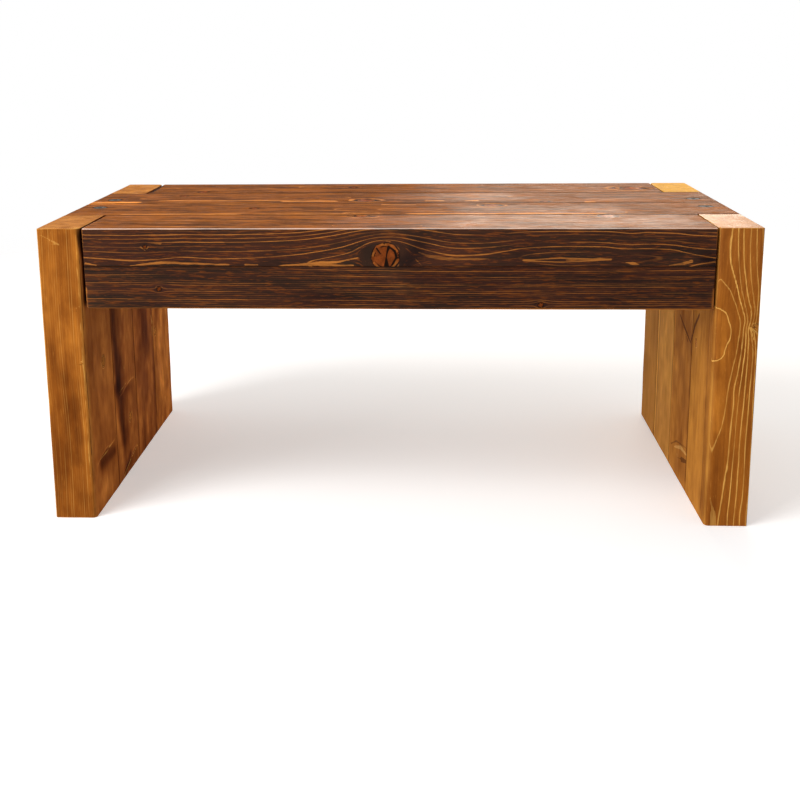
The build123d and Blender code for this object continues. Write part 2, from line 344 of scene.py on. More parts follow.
def edge_wear_and_highlight(out, rounded, from_corner, radius):
    """How far each edge is worn, 0 to 1, which also sets where the stain paints a highlight along it. It
    is below 0 at the small corners, where a seam holds grime, and weak at the legs' large corners."""
    seam_reach = np.where(np.abs(out[:, 2]) > 0.7, 3.2, 1.6) * MM
    edge = np.where(radius <= S, -radius / S * np.exp(-(from_corner / seam_reach) ** 2), rounded)
    return np.where((radius > 2 * R) & (np.abs(out[:, 0]) < 0.05), 0.25 * edge, edge)


def face_looks(out, plank):
    """What each face has: added tone, which on the legs' inner faces is partly painted light, its share of
    the lines and of the smudges, the strength of bands, golden streaks and calm, and how much greener and
    bluer it is."""
    marks, green, blue, streaky, calm = (np.zeros(len(out)) for _ in range(5))
    lines = np.full(len(out), float(plank["lines"]))
    smudge = np.full(len(out), float(plank["smudge"]))
    for axis, side, tone, line_part, smudge_part in plank["face_tones"]:
        share = facing(out, axis, side)
        marks += tone * share
        lines *= 1 + (line_part - 1) * share
        smudge *= 1 + (smudge_part - 1) * share
    banding = smudge.copy()
    for axis, side, bands, streaks, soft in plank["face_bands"]:
        share = facing(out, axis, side)
        banding += (bands - banding) * share
        streaky += streaks * share
        calm += soft * share
    for axis, side, more_green, more_blue in plank["face_tints"]:
        share = facing(out, axis, side)
        green += more_green * share
        blue += more_blue * share
    return marks, lines, smudge, banding, streaky, calm, green, blue


def clouded_tone(p, turned, plank):
    """The plank's own tone, uneven along the grain and mottled."""
    unevenly = soft_noise(turned, (0.11, 0.045, 0.045), plank["seed"] + 20)
    unevenly += 0.6 * soft_noise(turned, (0.04, 0.014, 0.014), plank["seed"] + 21)
    mottle = soft_noise(p, (0.040, 0.024, 0.024), plank["seed"] + 22)
    mottle += 0.7 * soft_noise(p, (0.014, 0.009, 0.009), plank["seed"] + 23)
    return plank["tone"] + plank["uneven_tone"] * unevenly + plank["mottle"] * mottle


def stroke_tone(places, out, low, high, plank):
    """Darker and paler strokes, each fading as a bell curve over its uneven width."""
    rough = 1 + 0.4 * soft_noise(places, 0.02, 71)
    marks = np.zeros(len(places))
    for start, end, width, strength in plank["strokes"]:
        distance, _ = segment_distance(places, start, end)
        shown = own_face(start, end, low, high, out)
        marks += strength * shown * np.exp(-(distance / (width * MM * rough)) ** 2)
    return marks


def polish_of(places, out, edge, plank):
    """How much each place shines: more on worn upper edges and where strokes polish it. Where it is
    strong, on the upper edges, the stain also paints a whitish highlight there.
    """
    polish = plank["polish"] + plank["edge_polish"] * np.maximum(edge, 0) * ramp(0.3, 0.7, out[:, 2])
    rough = 1 + 0.35 * soft_noise(places, (0.09, 0.02, 0.02), 83)
    for start, end, width, strength in plank["polished"]:
        distance, _ = segment_distance(places, start, end)
        polish += strength * np.exp(-(distance / (width * MM * rough)) ** 4)
    return polish


def bold_lines(places, out, ring, plank):
    """How bold the growth lines are: along listed strokes, or by the number of a drawn line. Gives
    with it the share of the plain lines that is left, none before the first drawn line."""
    bold = np.zeros(len(places))
    for start, end, width, strength in plank["bold"]:
        distance, _ = segment_distance(places, start, end)
        bold = np.maximum(bold, strength * np.exp(-(distance / (width * MM)) ** 4))
    if not plank["drawn_bold"]:
        return bold, 1.0
    shares = np.interp(ring - LINE_AT, np.arange(len(plank["drawn_bold"])), plank["drawn_bold"])
    front_share = ramp(0.6, 0.9, -out[:, 2])
    beyond_first = ramp(-0.6, -0.3, ring - LINE_AT)
    return shares * front_share * beyond_first, 1 - front_share * (1 - beyond_first)


def torn_ridges(places, out, plank):
    """Wavy ridges torn along a stroke: the wood drops sharply below the ridge and rises back over
    the fade. Gives the depth, and painted light for the tone: a painted shadow below the ridge and a
    painted highlight on it."""
    depths, marks = np.zeros(len(places)), np.zeros(len(places))
    wander = 3 * MM * soft_noise(places, 0.03, 91)
    for start, end, deepest, fade in plank["ridges"]:
        distance, along = segment_distance(places, start, end)
        foot = np.array(start) + along[:, None] * (np.array(end) - np.array(start))
        below = foot[:, 2] + wander + 5 * MM * np.sin(np.pi * along) - places[:, 2]
        beside = np.linalg.norm((places - foot)[:, :2], axis=1)
        near_face = ramp(0.8, 0.95, np.abs(out[:, 1])) * np.exp(-(beside / (5 * MM)) ** 2)
        torn = ramp(0, 0.2, along) * ramp(0, 0.2, 1 - along) * near_face
        shade = ramp(0, 0.5, along) * ramp(0, 0.5, 1 - along) * near_face
        dropped = np.exp(-below / (fade * MM))
        depths += deepest * MM * torn * np.where(below > 0, dropped, np.exp(below / (0.9 * MM)))
        # A painted highlight along the ridge's crest
        marks += 1.1 * torn * np.exp(-(below / (1.6 * MM)) ** 2)
        # A painted shadow below the ridge, fading as the wood rises back
        marks -= 0.8 * shade * np.where(below > 0, dropped, 0)
    return depths, marks


def uneven_faces(p, out, plank):
    """How far the faces stand out, always below 0: gentle waves, small dents, hollows at knots."""
    uneven = -0.22 * MM - 0.16 * MM * soft_noise(p, (0.09, 0.04, 0.04), plank["seed"] + 11)
    uneven -= 0.05 * MM * np.abs(soft_noise(p, (0.02, 0.006, 0.006), plank["seed"] + 12))
    for place, across, radius, face, *_ in plank["knots"]:
        column = 2 if face[0] == "b" else 1
        toward = out[:, 3 - column] * (1 if face[1] == "+" else -1)
        away = np.hypot(p[:, 0] - place, p[:, column] - across) / radius
        uneven -= 0.35 * MM * np.exp(-(away / 1.1) ** 2) * ramp(0.5, 0.9, toward)
    return uneven


def sink_holes(p, out, edge, plank):
    """Moves the points near each screw hole's rim onto it, and sinks those inside it. Gives the
    edge's wear with grime round the rims."""
    top = out[:, 2] > 0.9
    for place, across in plank["screw_holes"]:
        da, db = p[:, 0] - place, p[:, 1] - across
        away = np.hypot(da, db)
        rim = top & (np.abs(away - HOLE_RADIUS) < 0.5 * MM)
        p[rim, 0] = place + da[rim] / away[rim] * HOLE_RADIUS
        p[rim, 1] = across + db[rim] / away[rim] * HOLE_RADIUS
        p[top & (away <= HOLE_RADIUS - 0.5 * MM), 2] -= HOLE_DEPTH
        grime = -np.exp(-((away - HOLE_RADIUS) / (1.5 * MM)) ** 2)
        edge = np.where(top, np.minimum(edge, grime), edge)
    return edge


def skin_mesh(name, points, faces, vectors):
    """A smooth mesh from whole arrays, with each vector attribute on its points."""
    mesh = bpy.data.meshes.new(name)
    mesh.vertices.add(len(points))
    mesh.vertices.foreach_set("co", points.astype(np.float32).ravel())
    mesh.loops.add(faces.size)
    mesh.loops.foreach_set("vertex_index", faces.astype(np.int32).ravel())
    mesh.polygons.add(len(faces))
    mesh.polygons.foreach_set("loop_start", np.arange(0, faces.size, 4, dtype=np.int32))
    mesh.polygons.foreach_set("use_smooth", np.ones(len(faces), dtype=bool))
    mesh.update(calc_edges=True)
    mesh.validate()
    for title, values in vectors.items():
        layer = mesh.attributes.new(title, "FLOAT_VECTOR", "POINT")
        layer.data.foreach_set("vector", values.astype(np.float32).ravel())
    return mesh


def plank_surface(name, plank):
    """One plank of the bench, in place of its plain solid: the rounded block, its slightly uneven
    faces, its torn ridges, and the grain, marks and edges as attributes for the stain."""
    box_low, box_high = (np.array(corner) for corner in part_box(name))
    order, back = list(OWN_AXES[plank["grain"]]), list(BACK_AXES[plank["grain"]])
    low, high = box_low[order], box_high[order]
    (a, b, c), faces = plank_block(low, high, plank)
    share = (c - low[2]) / (high[2] - low[2])
    end_ease = plank["end_ease"][0] * (1 - share) + plank["end_ease"][1] * share
    p, out, rounded, from_corner, which = rounded_plank(a, b, c, plank["corners"], end_ease, plank["seed"])
    edge = edge_wear_and_highlight(out, rounded, from_corner, np.asarray(plank["corners"])[which])
    is_end = (np.abs(out[:, 0]) > 0.7).astype(float)
    turned, ring, knot = grain_field(p, plank)
    rate = ring_rate(p, out, ring, plank)
    places, out_there = p[:, back], out[:, back]

    marks, lines, smudge, banding, streaky, calm, green, blue = face_looks(out, plank)
    bold, lines_left = bold_lines(places, out, ring, plank)
    ridge_depths, ridge_painted_light = torn_ridges(places, out, plank)
    # The ridges add painted light to the tone: a highlight on each crest and a shadow below it
    marks += clouded_tone(p, turned, plank) + ridge_painted_light
    marks += stroke_tone(places, out_there, box_low, box_high, plank)
    polish = polish_of(places, out, edge, plank)
    p += out * (uneven_faces(p, out, plank) - ridge_depths)[:, None]
    edge = sink_holes(p, out, edge, plank)
    piece = bpy.data.objects.new(name + "_dressed", skin_mesh(name + "_dressed", p[:, back], faces, {
        "fibre": turned + plank["seed"] * np.array([1.37, 0.61, 0.83]),
        "knot": knot[:, :3],
        "finish": np.stack([marks, is_end, edge], axis=1),
        "look": np.stack([lines * lines_left, polish, smudge], axis=1),
        "growth": np.stack([ring, rate, bold], axis=1),
        "tongue": tongue_field(places, plank),
        "more": np.stack([knot[:, 3] / MM, green, blue], axis=1),
        "grain": np.stack([banding, streaky, calm], axis=1),
    }))
    bpy.context.collection.objects.link(piece)
    piece.data.materials.append(plank["stain"])
    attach(piece, "root")
    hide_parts(name)


# Stains and metal

class Output:
    """A node's output. Adding, multiplying and so on with outputs and numbers makes new nodes."""
    def __init__(self, node, socket):
        self.node, self.socket = node, socket

    def __add__(self, other):
        return sums("ADD", self, other)

    def __sub__(self, other):
        return sums("SUBTRACT", self, other)

    def __rsub__(self, other):
        return sums("SUBTRACT", other, self)

    def __mul__(self, other):
        return sums("MULTIPLY", self, other)

    def __truediv__(self, other):
        return sums("DIVIDE", self, other)

    def __abs__(self):
        return sums("ABSOLUTE", self)


def sums(operation, first, second=0.0):
    """One step of a sum, as a node beside the one whose output goes into it."""
    node = first.node if isinstance(first, Output) else second.node
    return node("ShaderNodeMath", {0: first, 1: second}, operation=operation)


def larger(first, second):
    """The larger of two outputs, or of an output and a number."""
    return sums("MAXIMUM", first, second)


def smaller(first, second):
    """The smaller of two outputs, or of an output and a number."""
    return sums("MINIMUM", first, second)


def node_maker(tree):
    """Empties a node tree and gives a helper that adds one node and returns one of its outputs."""
    tree.nodes.clear()

    def node(kind, inputs, output=0, **settings):
        made = tree.nodes.new(kind)
        for key, value in settings.items():
            setattr(made, key, value)
        for socket, value in inputs.items():
            if isinstance(value, Output):
                tree.links.new(value.socket, made.inputs[socket])
            else:
                made.inputs[socket].default_value = value
        return Output(node, made.outputs[output]) if made.outputs else made

    return node


def new_material(name):
    """An empty node material and its node helper."""
    material = bpy.data.materials.new(name)
    material.use_nodes = True
    return material, node_maker(material.node_tree)


def helpers(node):
    """Short names for what the stains use most: a soft rise from one value to another, a mix of
    two colours, and noise stretched along the grain."""
    def rise(value, low, high, bottom=0.0, top=1.0):
        return node("ShaderNodeMapRange", {0: value, 1: low, 2: high, 3: bottom, 4: top},
                    interpolation_type="SMOOTHSTEP")

    def mix(share, first, second, blend="MIX"):
        return node("ShaderNodeMix", {0: share, 6: first, 7: second}, output=2,
                    data_type="RGBA", blend_type=blend)

    def stretched(vector, scale, detail, roughness=0.5):
        place = node("ShaderNodeVectorMath", {0: vector, 1: scale}, operation="MULTIPLY")
        return node("ShaderNodeTexNoise", {"Vector": place, "Scale": 1.0, "Detail": detail,
                                           "Roughness": roughness})

    return rise, mix, stretched


# How often each layer of the figure repeats in a metre, along and across the grain, then the
# detail and roughness of its noise
CELLS = (90.0, 1300.0, 1300.0), 1.0, 0.5
HAIRS = (42.0, 520.0, 520.0), 2.0, 0.62
STREAKS = (5.0, 210.0, 210.0), 3.0, 0.66
DASHES = (11.0, 125.0, 125.0), 3.0, 0.65
BANDS = (5.0, 62.0, 62.0), 3.0, 0.62
CLOUD = (22.0, 56.0, 56.0), 5.0, 0.72
BLOTCH = (8.0, 24.0, 24.0), 4.0, 0.6
# A whitish colour that the stain paints on strongly polished upper edges: a painted highlight
ARRIS_PAINTED_HIGHLIGHT = (0.80, 0.74, 0.68, 1.0)


def stained_wood(name, colours, lift_bases, relief, rubbing_and_edge_highlight, knot_border, hair_share, low_share,
                 flank_share):
    """Softwood under a stain. At each growth ring runs a thin pale line, as wide on the surface
    wherever the rings pass it quickly. Between them are short fine hairs, streaks, bands, dashes
    of golden wood, and patches where the stain took unevenly: hair_share and low_share say how
    strong the fine and the broad ones are. lift_bases says how many times brighter each colour
    gets for each step of tone, and a darkened face's darkest wood turns greyer. Knots have a
    cracked heart, a pale crescent and a dark border, with dark wood before and behind them, as
    dark as flank_share. Pale tongues and loops have ragged edges, cracks are dark tongues, edges
    are paler, partly from wear and partly as a painted highlight, strongly polished upper edges
    turn whitish as a painted highlight, and seams hold grime. On faces with golden streaks the
    dark wood shines most."""
    dark, grey_dark, middle, light, pale, knot_dark, knot_warm, sawn = colours
    material, node = new_material(name)
    rise, mix, stretched = helpers(node)

    def part(title, index):
        vector = node("ShaderNodeAttribute", {}, output=1, attribute_name=title)
        return node("ShaderNodeSeparateXYZ", {0: vector}, output=index)

    def grey(value):
        return node("ShaderNodeCombineColor", {0: value, 1: value, 2: value})

    def centred(value, share):
        return (value - 0.5) * share

    fibre = node("ShaderNodeAttribute", {}, output=1, attribute_name="fibre")
    knot = node("ShaderNodeAttribute", {}, output=1, attribute_name="knot")
    marks, is_end, edge = (part("finish", index) for index in range(3))
    line_share, polish, smudge = (part("look", index) for index in range(3))
    ring, rate, bold = (part("growth", index) for index in range(3))
    away, across, near = (part("knot", index) for index in range(3))
    depth, fill, loop = (part("tongue", index) for index in range(3))
    size, green, blue = (part("more", index) for index in range(3))
    banding, streaky, calm = (part("grain", index) for index in range(3))
    lively = 1.0 - calm
    shaded = rise(marks, -0.5, -2.0, 0.0, 1.0)

    cells, hairs = stretched(fibre, *CELLS), stretched(fibre, *HAIRS)
    streaks, dashes = stretched(fibre, *STREAKS), stretched(fibre, *DASHES)
    bands, cloud, blotch = (stretched(fibre, *layer) for layer in (BANDS, CLOUD, BLOTCH))

    # The nearest knot
    rough_knot = stretched(knot, (1.9, 1.9, 0.0), 3.0, 0.6)
    radius = sums("SQRT", away * away + across * across)
    radius = radius + centred(rough_knot, 0.3)
    past_rim = (radius - 1.0) * size
    halo = rise(radius, 1.0, 2.4, 1.0, 0.0) * near
    angle = node("ShaderNodeMath", {0: across, 1: away}, operation="ARCTAN2")
    round_knot = angle * 0.9 + ring
    lit_side = node("ShaderNodeTexNoise", {"W": round_knot, "Scale": 1.0, "Detail": 1.0},
                    noise_dimensions="1D")

    # The growth lines
    ragged = node("ShaderNodeMath", {0: centred(streaks, 2.4), 1: rate, 2: ring},
                  operation="MULTIPLY_ADD") + (1.5 - LINE_AT)
    number = sums("FLOOR", ragged)
    beyond = sums("FRACT", ragged) - 0.5
    beyond = beyond / larger(rate, 0.055)
    own = node("ShaderNodeTexWhiteNoise", {"W": number}, noise_dimensions="1D")
    along = node("ShaderNodeVectorMath", {0: fibre, 1: (6.0, 10.0, 10.0)}, operation="MULTIPLY")
    fade = node("ShaderNodeTexNoise", {"Vector": along, "W": number, "Scale": 1.0, "Detail": 4.0},
                noise_dimensions="4D")
    strength = rise(own, 0.1, 0.8, 0.2, 1.0) * rise(fade, 0.38, 0.6, 0.04, 1.0)
    strength = larger(strength, halo * 0.6)
    strength = larger(strength * line_share, bold)
    thin = abs(beyond) / (bold * 0.8 + 1.0)
    line = rise(thin, 0.25, 0.85, 1.0, 0.0)
    line = line * rise(hairs, 0.3, 0.55, 0.45, 1.0)
    line = smaller(line * strength, 1.0)
    before = rise(beyond, -5.0, 0.0) * rise(beyond, 0.0, 0.9, 1.0, 0.0)

    # The wood between them
    low = centred(streaks, 0.6) * lively + centred(blotch, 0.28)
    wide = centred(cloud, 1.5) + centred(blotch, 1.2)
    low = low + wide * smudge
    low = low + centred(bands, 2.4) * banding
    low = low + centred(dashes, 2.2) * streaky
    low = low + before * strength * 0.06
    low = low * low_share
    deepest = mix(shaded, dark, grey_dark)
    body = mix(rise(low, -0.20, 0.16), deepest, middle)
    fine = centred(hairs, 1.0) + centred(cells, 0.3)
    fine = fine * hair_share * lively
    fine = fine + low * 0.17

    lift = node("ShaderNodeCombineColor", {
        index: sums("POWER", base, marks) for index, base in enumerate(lift_bases)})
    hair_lift = grey(sums("POWER", 2.0, marks * 0.8))
    part_lift = grey(sums("POWER", 2.0, marks * 0.47))
    body = mix(1.0, body, lift, blend="MULTIPLY")
    bright_hair = mix(1.0, light, hair_lift, blend="MULTIPLY")
    bright = mix(1.0, pale, part_lift, blend="MULTIPLY")
    warm = mix(1.0, knot_warm, part_lift, blend="MULTIPLY")
    deep = mix(1.0, deepest, lift, blend="MULTIPLY")
    flank = away * away * 0.16
    flank = flank + across * across
    flank = rise(flank + centred(cloud, 3.6), 0.5, 1.7, flank_share, 0.0)
    flank = flank * near * rise(streaks, 0.4, 0.6, 1.25, 0.55)
    body = mix(flank, body, deep)
    body = mix(rise(fine, -0.08, -0.22, 0.0, 1.0) * 0.6, body, deep)
    body = mix(rise(fine, 0.04, 0.16) * 0.85, body, bright_hair)
    golden = rise(dashes + centred(streaks, 0.5), 0.56, 0.72) * streaky
    ring_of_light = rise(abs(past_rim - 2.6), 0.3, 1.0, 1.0, 0.0)
    ring_of_light = ring_of_light * (rise(lit_side, 0.47, 0.58) * near)
    ring_of_light = ring_of_light * rise(size, 4.0, 5.0)
    ring_of_light = ring_of_light * (rise(hairs, 0.35, 0.6) * 0.8)
    line = larger(line, ring_of_light)

    # Tongues and loops
    ragged_depth = depth + (centred(blotch, 3.0) + centred(hairs, 2.5))
    inside_tongue = rise(ragged_depth, -0.2, 0.7)
    ragged_loop = loop + (centred(streaks, 3.0) + centred(hairs, 1.5))
    loop_line = rise(abs(ragged_loop), 0.4, 1.2, 0.78, 0.0)
    pale_tongue = fill * rise(hairs, 0.3, 0.62, 0.55, 1.0)
    pale_tongue = inside_tongue * pale_tongue
    line = larger(line, larger(pale_tongue, loop_line))
    crack = inside_tongue * larger(fill * -1.0, 0.0)

    # The knot's heart and rim
    inside = rise(past_rim, -1.0, 0.0, 1.0, 0.0) * near
    turn = angle * 2.0 + rough_knot * 5.0
    checks = rise(abs(sums("SINE", turn)), 0.06, 0.26, 1.0, 0.0)
    checks = checks * rise(rough_knot, 0.42, 0.56)
    off_arc = abs((radius - 0.76) * size)
    inner_arc = rise(off_arc, 0.4, 1.3, 1.0, 0.0) * rise(lit_side, 0.44, 0.56)
    crescent = rise(radius, 0.76, 0.86) * rise(lit_side, 0.42, 0.58)
    browned = rise(rough_knot + centred(hairs, 0.8), 0.44, 0.7)
    heart = mix(browned * 0.5, warm, knot_dark)
    heart_shade = rise(hairs + centred(cloud, 0.6), 0.32, 0.68, 0.62, 1.3)
    heart = mix(1.0, heart, grey(heart_shade), blend="MULTIPLY")
    heart = mix(crescent * 0.45, heart, bright)
    heart = mix(larger(checks, inner_arc) * 0.9, heart, knot_dark)
    rim = rise(abs(past_rim), 0.3, 1.3, 1.0, 0.0) * near
    rim = rim * rise(rough_knot, 0.36, 0.52, 0.35, 1.0)

    # Sawn ends
    cell_shade = rise(cells, 0.35, 0.7, 0.84, 1.14)
    rings = rise(abs(beyond), 0.2, 1.2, 1.0, 0.0) * 0.35
    end_body = mix(rise(cloud, 0.44, 0.66) * 0.4, mix(rings, sawn, middle), dark)
    end_body = mix(1.0, end_body, grey(cell_shade), blend="MULTIPLY")
    body = mix(is_end, body, mix(1.0, end_body, lift, blend="MULTIPLY"))

    # One over the other
    tint = node("ShaderNodeCombineColor", {0: 1.0, 1: green + 1.0, 2: blue + 1.0})
    body = mix(1.0, body, tint, blend="MULTIPLY")
    body = mix(smaller(golden * 0.8, 0.5), body, bright)
    body = mix(line * (1.0 - is_end), body, bright)
    body = mix(inside, body, heart)
    body = mix(rim * knot_border, body, knot_dark)
    body = mix(smaller(pale_tongue * inside, 1.0), body, bright)
    # Worn edges turn paler: partly real wear, partly a painted highlight along the edges
    worn_and_highlit_edge = edge * rise(blotch, 0.36, 0.6, 0.25, 1.0) * rubbing_and_edge_highlight
    body = mix(larger(worn_and_highlit_edge, 0.0), body, bright)
    # A painted highlight: where the upper edges' polish is strong, the colour turns whitish
    body = mix(rise(polish, 0.10, 0.85, 0.0, 0.55), body, ARRIS_PAINTED_HIGHLIGHT)
    grime = larger(edge * -1.0, 0.0) * 0.85
    body = mix(larger(grime, crack), body, knot_dark)

    # Relief and gloss
    height = hairs * 0.7 + line * 0.5
    height = height + cells * 0.2
    height = height - checks * inside * 0.6
    bump = node("ShaderNodeBump", {"Strength": 0.6, "Distance": relief, "Height": height})
    gloss = rise(fine + low, -0.3, 0.3, 0.5, 0.36)
    shine = rise(fine + low, -0.25, 0.25, 0.75, 1.25)
    on_dark = rise(low + centred(cloud, 1.6), -0.32, 0.26, 2.4, 0.2)
    shine = mix(smaller(streaky * 2.0, 1.0), grey(shine), grey(on_dark))
    shine = polish * shine
    shader = node("ShaderNodeBsdfPrincipled", {
        "Base Color": body, "Roughness": gloss, "Specular IOR Level": shine, "Normal": bump,
    })
    node("ShaderNodeOutputMaterial", {0: shader})
    return material


def plain_pin_wood(name):
    """Bare hardwood for the dowels, with faint streaks along X and Y."""
    material, node = new_material(name)
    rise, mix, stretched = helpers(node)
    place = node("ShaderNodeTexCoord", {}, output="Object")
    streaks = stretched(place, (300.0, 60.0, 500.0), 3.0)
    body = mix(rise(streaks, 0.3, 0.7), (0.42, 0.25, 0.12, 1), (0.62, 0.43, 0.25, 1))
    shader = node("ShaderNodeBsdfPrincipled", {"Base Color": body, "Roughness": 0.7,
                                               "Specular IOR Level": 0.3})
    node("ShaderNodeOutputMaterial", {0: shader})
    return material


def dull_zinc(name):
    """Zinc-plated steel gone dull: grey with cloudy patches and dark specks."""
    material, node = new_material(name)
    rise, mix, stretched = helpers(node)
    place = node("ShaderNodeTexCoord", {}, output="Object")
    clouds = stretched(place, (420.0, 420.0, 420.0), 4.0, 0.6)
    specks = stretched(place, (1500.0, 1500.0, 1500.0), 2.0)
    body = mix(rise(clouds, 0.3, 0.7), (0.040, 0.035, 0.030, 1), (0.15, 0.135, 0.12, 1))
    body = mix(rise(specks, 0.6, 0.75) * 0.6, body, (0.05, 0.04, 0.035, 1))
    bump = node("ShaderNodeBump", {"Strength": 0.3, "Distance": 0.3 * MM, "Height": clouds})
    shader = node("ShaderNodeBsdfPrincipled", {
        "Base Color": body, "Metallic": 0.3, "Specular IOR Level": 0.08,
        "Roughness": rise(clouds, 0.3, 0.7, 0.75, 0.6), "Normal": bump})
    node("ShaderNodeOutputMaterial", {0: shader})
    return material


# The colours of each stain: darkest wood, darkest on a darkened face, middle, light hairs, pale
# lines, a knot's cracks, its heart, and the sawn end
dark_stain = stained_wood(
    "dark_walnut_stain", (
        (0.100, 0.030, 0.0095, 1), (0.134, 0.070, 0.026, 1), (0.28, 0.087, 0.029, 1),
        (0.46, 0.125, 0.034, 1), (0.86, 0.300, 0.060, 1), (0.012, 0.006, 0.004, 1),
        (0.40, 0.090, 0.019, 1), (0.12, 0.036, 0.011, 1)),
    lift_bases=(2.12, 2.0, 1.48), relief=0.9 * MM, rubbing_and_edge_highlight=1.0, knot_border=0.85, hair_share=1.0,
    low_share=1.0, flank_share=0.62)
honey_stain = stained_wood(
    "honey_stain", (
        (0.22, 0.062, 0.009, 1), (0.14, 0.045, 0.012, 1), (0.37, 0.116, 0.0145, 1),
        (0.45, 0.160, 0.024, 1), (0.80, 0.42, 0.095, 1), (0.06, 0.018, 0.006, 1),
        (0.46, 0.17, 0.028, 1), (0.60, 0.24, 0.062, 1)),
    lift_bases=(2.0, 2.4, 2.4), relief=0.3 * MM, rubbing_and_edge_highlight=0.6, knot_border=0.5, hair_share=0.52,
    low_share=0.62, flank_share=0.3)
bare_wood = stained_wood(
    "bare_softwood", (
        (0.40, 0.22, 0.09, 1), (0.30, 0.17, 0.08, 1), (0.56, 0.36, 0.17, 1),
        (0.66, 0.45, 0.24, 1), (0.80, 0.58, 0.34, 1), (0.10, 0.045, 0.02, 1),
        (0.36, 0.17, 0.07, 1), (0.55, 0.36, 0.18, 1)),
    lift_bases=(2.0, 2.1, 2.2), relief=0.5 * MM, rubbing_and_edge_highlight=0.2, knot_border=0.6, hair_share=0.6,
    low_share=0.8, flank_share=0.3)
light_honey_stain = stained_wood(
    "light_honey_stain", (
        (0.35, 0.135, 0.027, 1), (0.20, 0.080, 0.020, 1), (0.47, 0.195, 0.042, 1),
        (0.54, 0.25, 0.062, 1), (0.82, 0.48, 0.14, 1), (0.06, 0.018, 0.006, 1),
        (0.40, 0.15, 0.030, 1), (0.66, 0.33, 0.090, 1)),
    lift_bases=(2.0, 2.4, 2.4), relief=0.3 * MM, rubbing_and_edge_highlight=0.6, knot_border=0.6, hair_share=0.40,
    low_share=0.5, flank_share=0.3)
pin_wood = plain_pin_wood("pin_hardwood")
zinc = dull_zinc("dull_zinc")


# The planks

# Corner radii: close seams, seams, shown edges, and the legs' corners towards the middle
C, S, R, T = 0.9 * MM, 2.0 * MM, 2.6 * MM, 9 * MM
HOLE_RADIUS, HOLE_DEPTH, HOLE_REACH = 12.7 * MM, 4.3 * MM, 14 * MM


def plank_of(grain, stain, seed, spacing, corners, pith, **other):
    """One plank's figure and edges, with plain values where none are given. Places, radii, steps
    and widths are given in millimetres, and places along and across a plank are X, Y and Z in the
    order of its own axes. lines, wander and phase are the share of the growth lines, how much the
    rings wander and how far they are shifted. tone, uneven_tone, mottle and smudge are the tone and
    how uneven it is. polish and edge_polish say how much faces and edges shine, and where
    edge_polish is strong it also paints a whitish highlight on the upper edges. knot_coarse says how
    much coarser a knot's marks are drawn on top, step how fine the grid is, and end_ease the radius
    of the ends below and above. The table's rows hold:
    pith: the place along the plank, and the pith's two places across it
    knots: place along, place across, radius, the face it shows on, and its heart's share
    face_tones: axis, side, added tone, share of the growth lines, share of the smudges
    face_bands: axis, side, strength of bands, of golden streaks, and calm
    face_tints: axis, side, how much greener, how much bluer
    finer_c: a height round which the grid is closer, its reach and how much closer
    drawn: a height, and the X of each growth line there; drawn_bold: how bold each is
    bays: the points (height, X) of a bay's bounding curve
    eyes: X, Y, half length, half width, half the line's width, fill
    After their two ends, strokes and bold and polished ones have a width and a strength, ridges a
    depth and a fade, tongues their half widths and a fill, and loops their half widths."""
    plank = {
        "lines": 1.0, "wander": 1.0, "phase": 0.0, "tone": 0.0, "uneven_tone": 0.2, "mottle": 0.08,
        "smudge": 0.5, "polish": 0.001, "edge_polish": 0.03, "knot_coarse": 1, "step": 2.8,
        "end_ease": (1.2, 1.2),
    }
    rows = ("knots", "screw_holes", "finer_c", "face_tones", "face_bands", "face_tints", "strokes", "bold",
            "polished", "ridges", "tongues", "loops", "eyes", "bays", "drawn", "drawn_bold")
    plank.update({title: () for title in rows})
    plank.update(other, grain=grain, stain=stain, seed=seed, spacing=spacing * MM, corners=corners)
    plank["step"] *= MM
    plank["pith"] = np.array(pith) * MM
    plank["end_ease"] = np.array(plank["end_ease"]) * MM
    plank["screw_holes"] = [(place * MM, across * MM) for place, across in plank["screw_holes"]]
    plank["finer_c"] = [(place * MM, reach * MM, extra) for place, reach, extra in plank["finer_c"]]
    plank["knots"] = [(place * MM, across * MM, radius * MM, *shown)
                      for place, across, radius, *shown in plank["knots"]]
    return plank


def on_face(axis, level):
    """A helper that makes strokes on the face at this level of an axis. Each row has the two
    places of the start on that face, the two of the end, and then the stroke's own values."""
    def strokes(*rows):
        made = []
        for first, second, to_first, to_second, *own in rows:
            start, end = [first * MM, second * MM], [to_first * MM, to_second * MM]
            start.insert(axis, level)
            end.insert(axis, level)
            made.append((start, end, *own))
        return made
    return strokes


front, top = on_face(1, FRONT_Y), on_face(2, TOP_Z)
left_inside, right_inside = on_face(0, LEFT_INSIDE), on_face(0, RIGHT_INSIDE)


def top_knot(x, y, half_length, half_width, fill=1.0):
    """The rings of a knot on the top, wide enough to be seen at a low angle."""
    return ((x, y, half_length, half_width, 2.6, fill),
            (x, y, 0.72 * half_length, 0.70 * half_width, 1.8, -0.45),
            (x, y, 0.44 * half_length, 0.42 * half_width, 2.0, 0.6 * fill))


# What the four planks of the top share: even wood with golden streaks on their upper face
TOP_FACE = {"smudge": 0.45, "knot_coarse": 3, "face_bands": ((2, 1, 0.25, 0.48, 0),),
            "face_tints": ((2, 1, 0, -0.42),)}

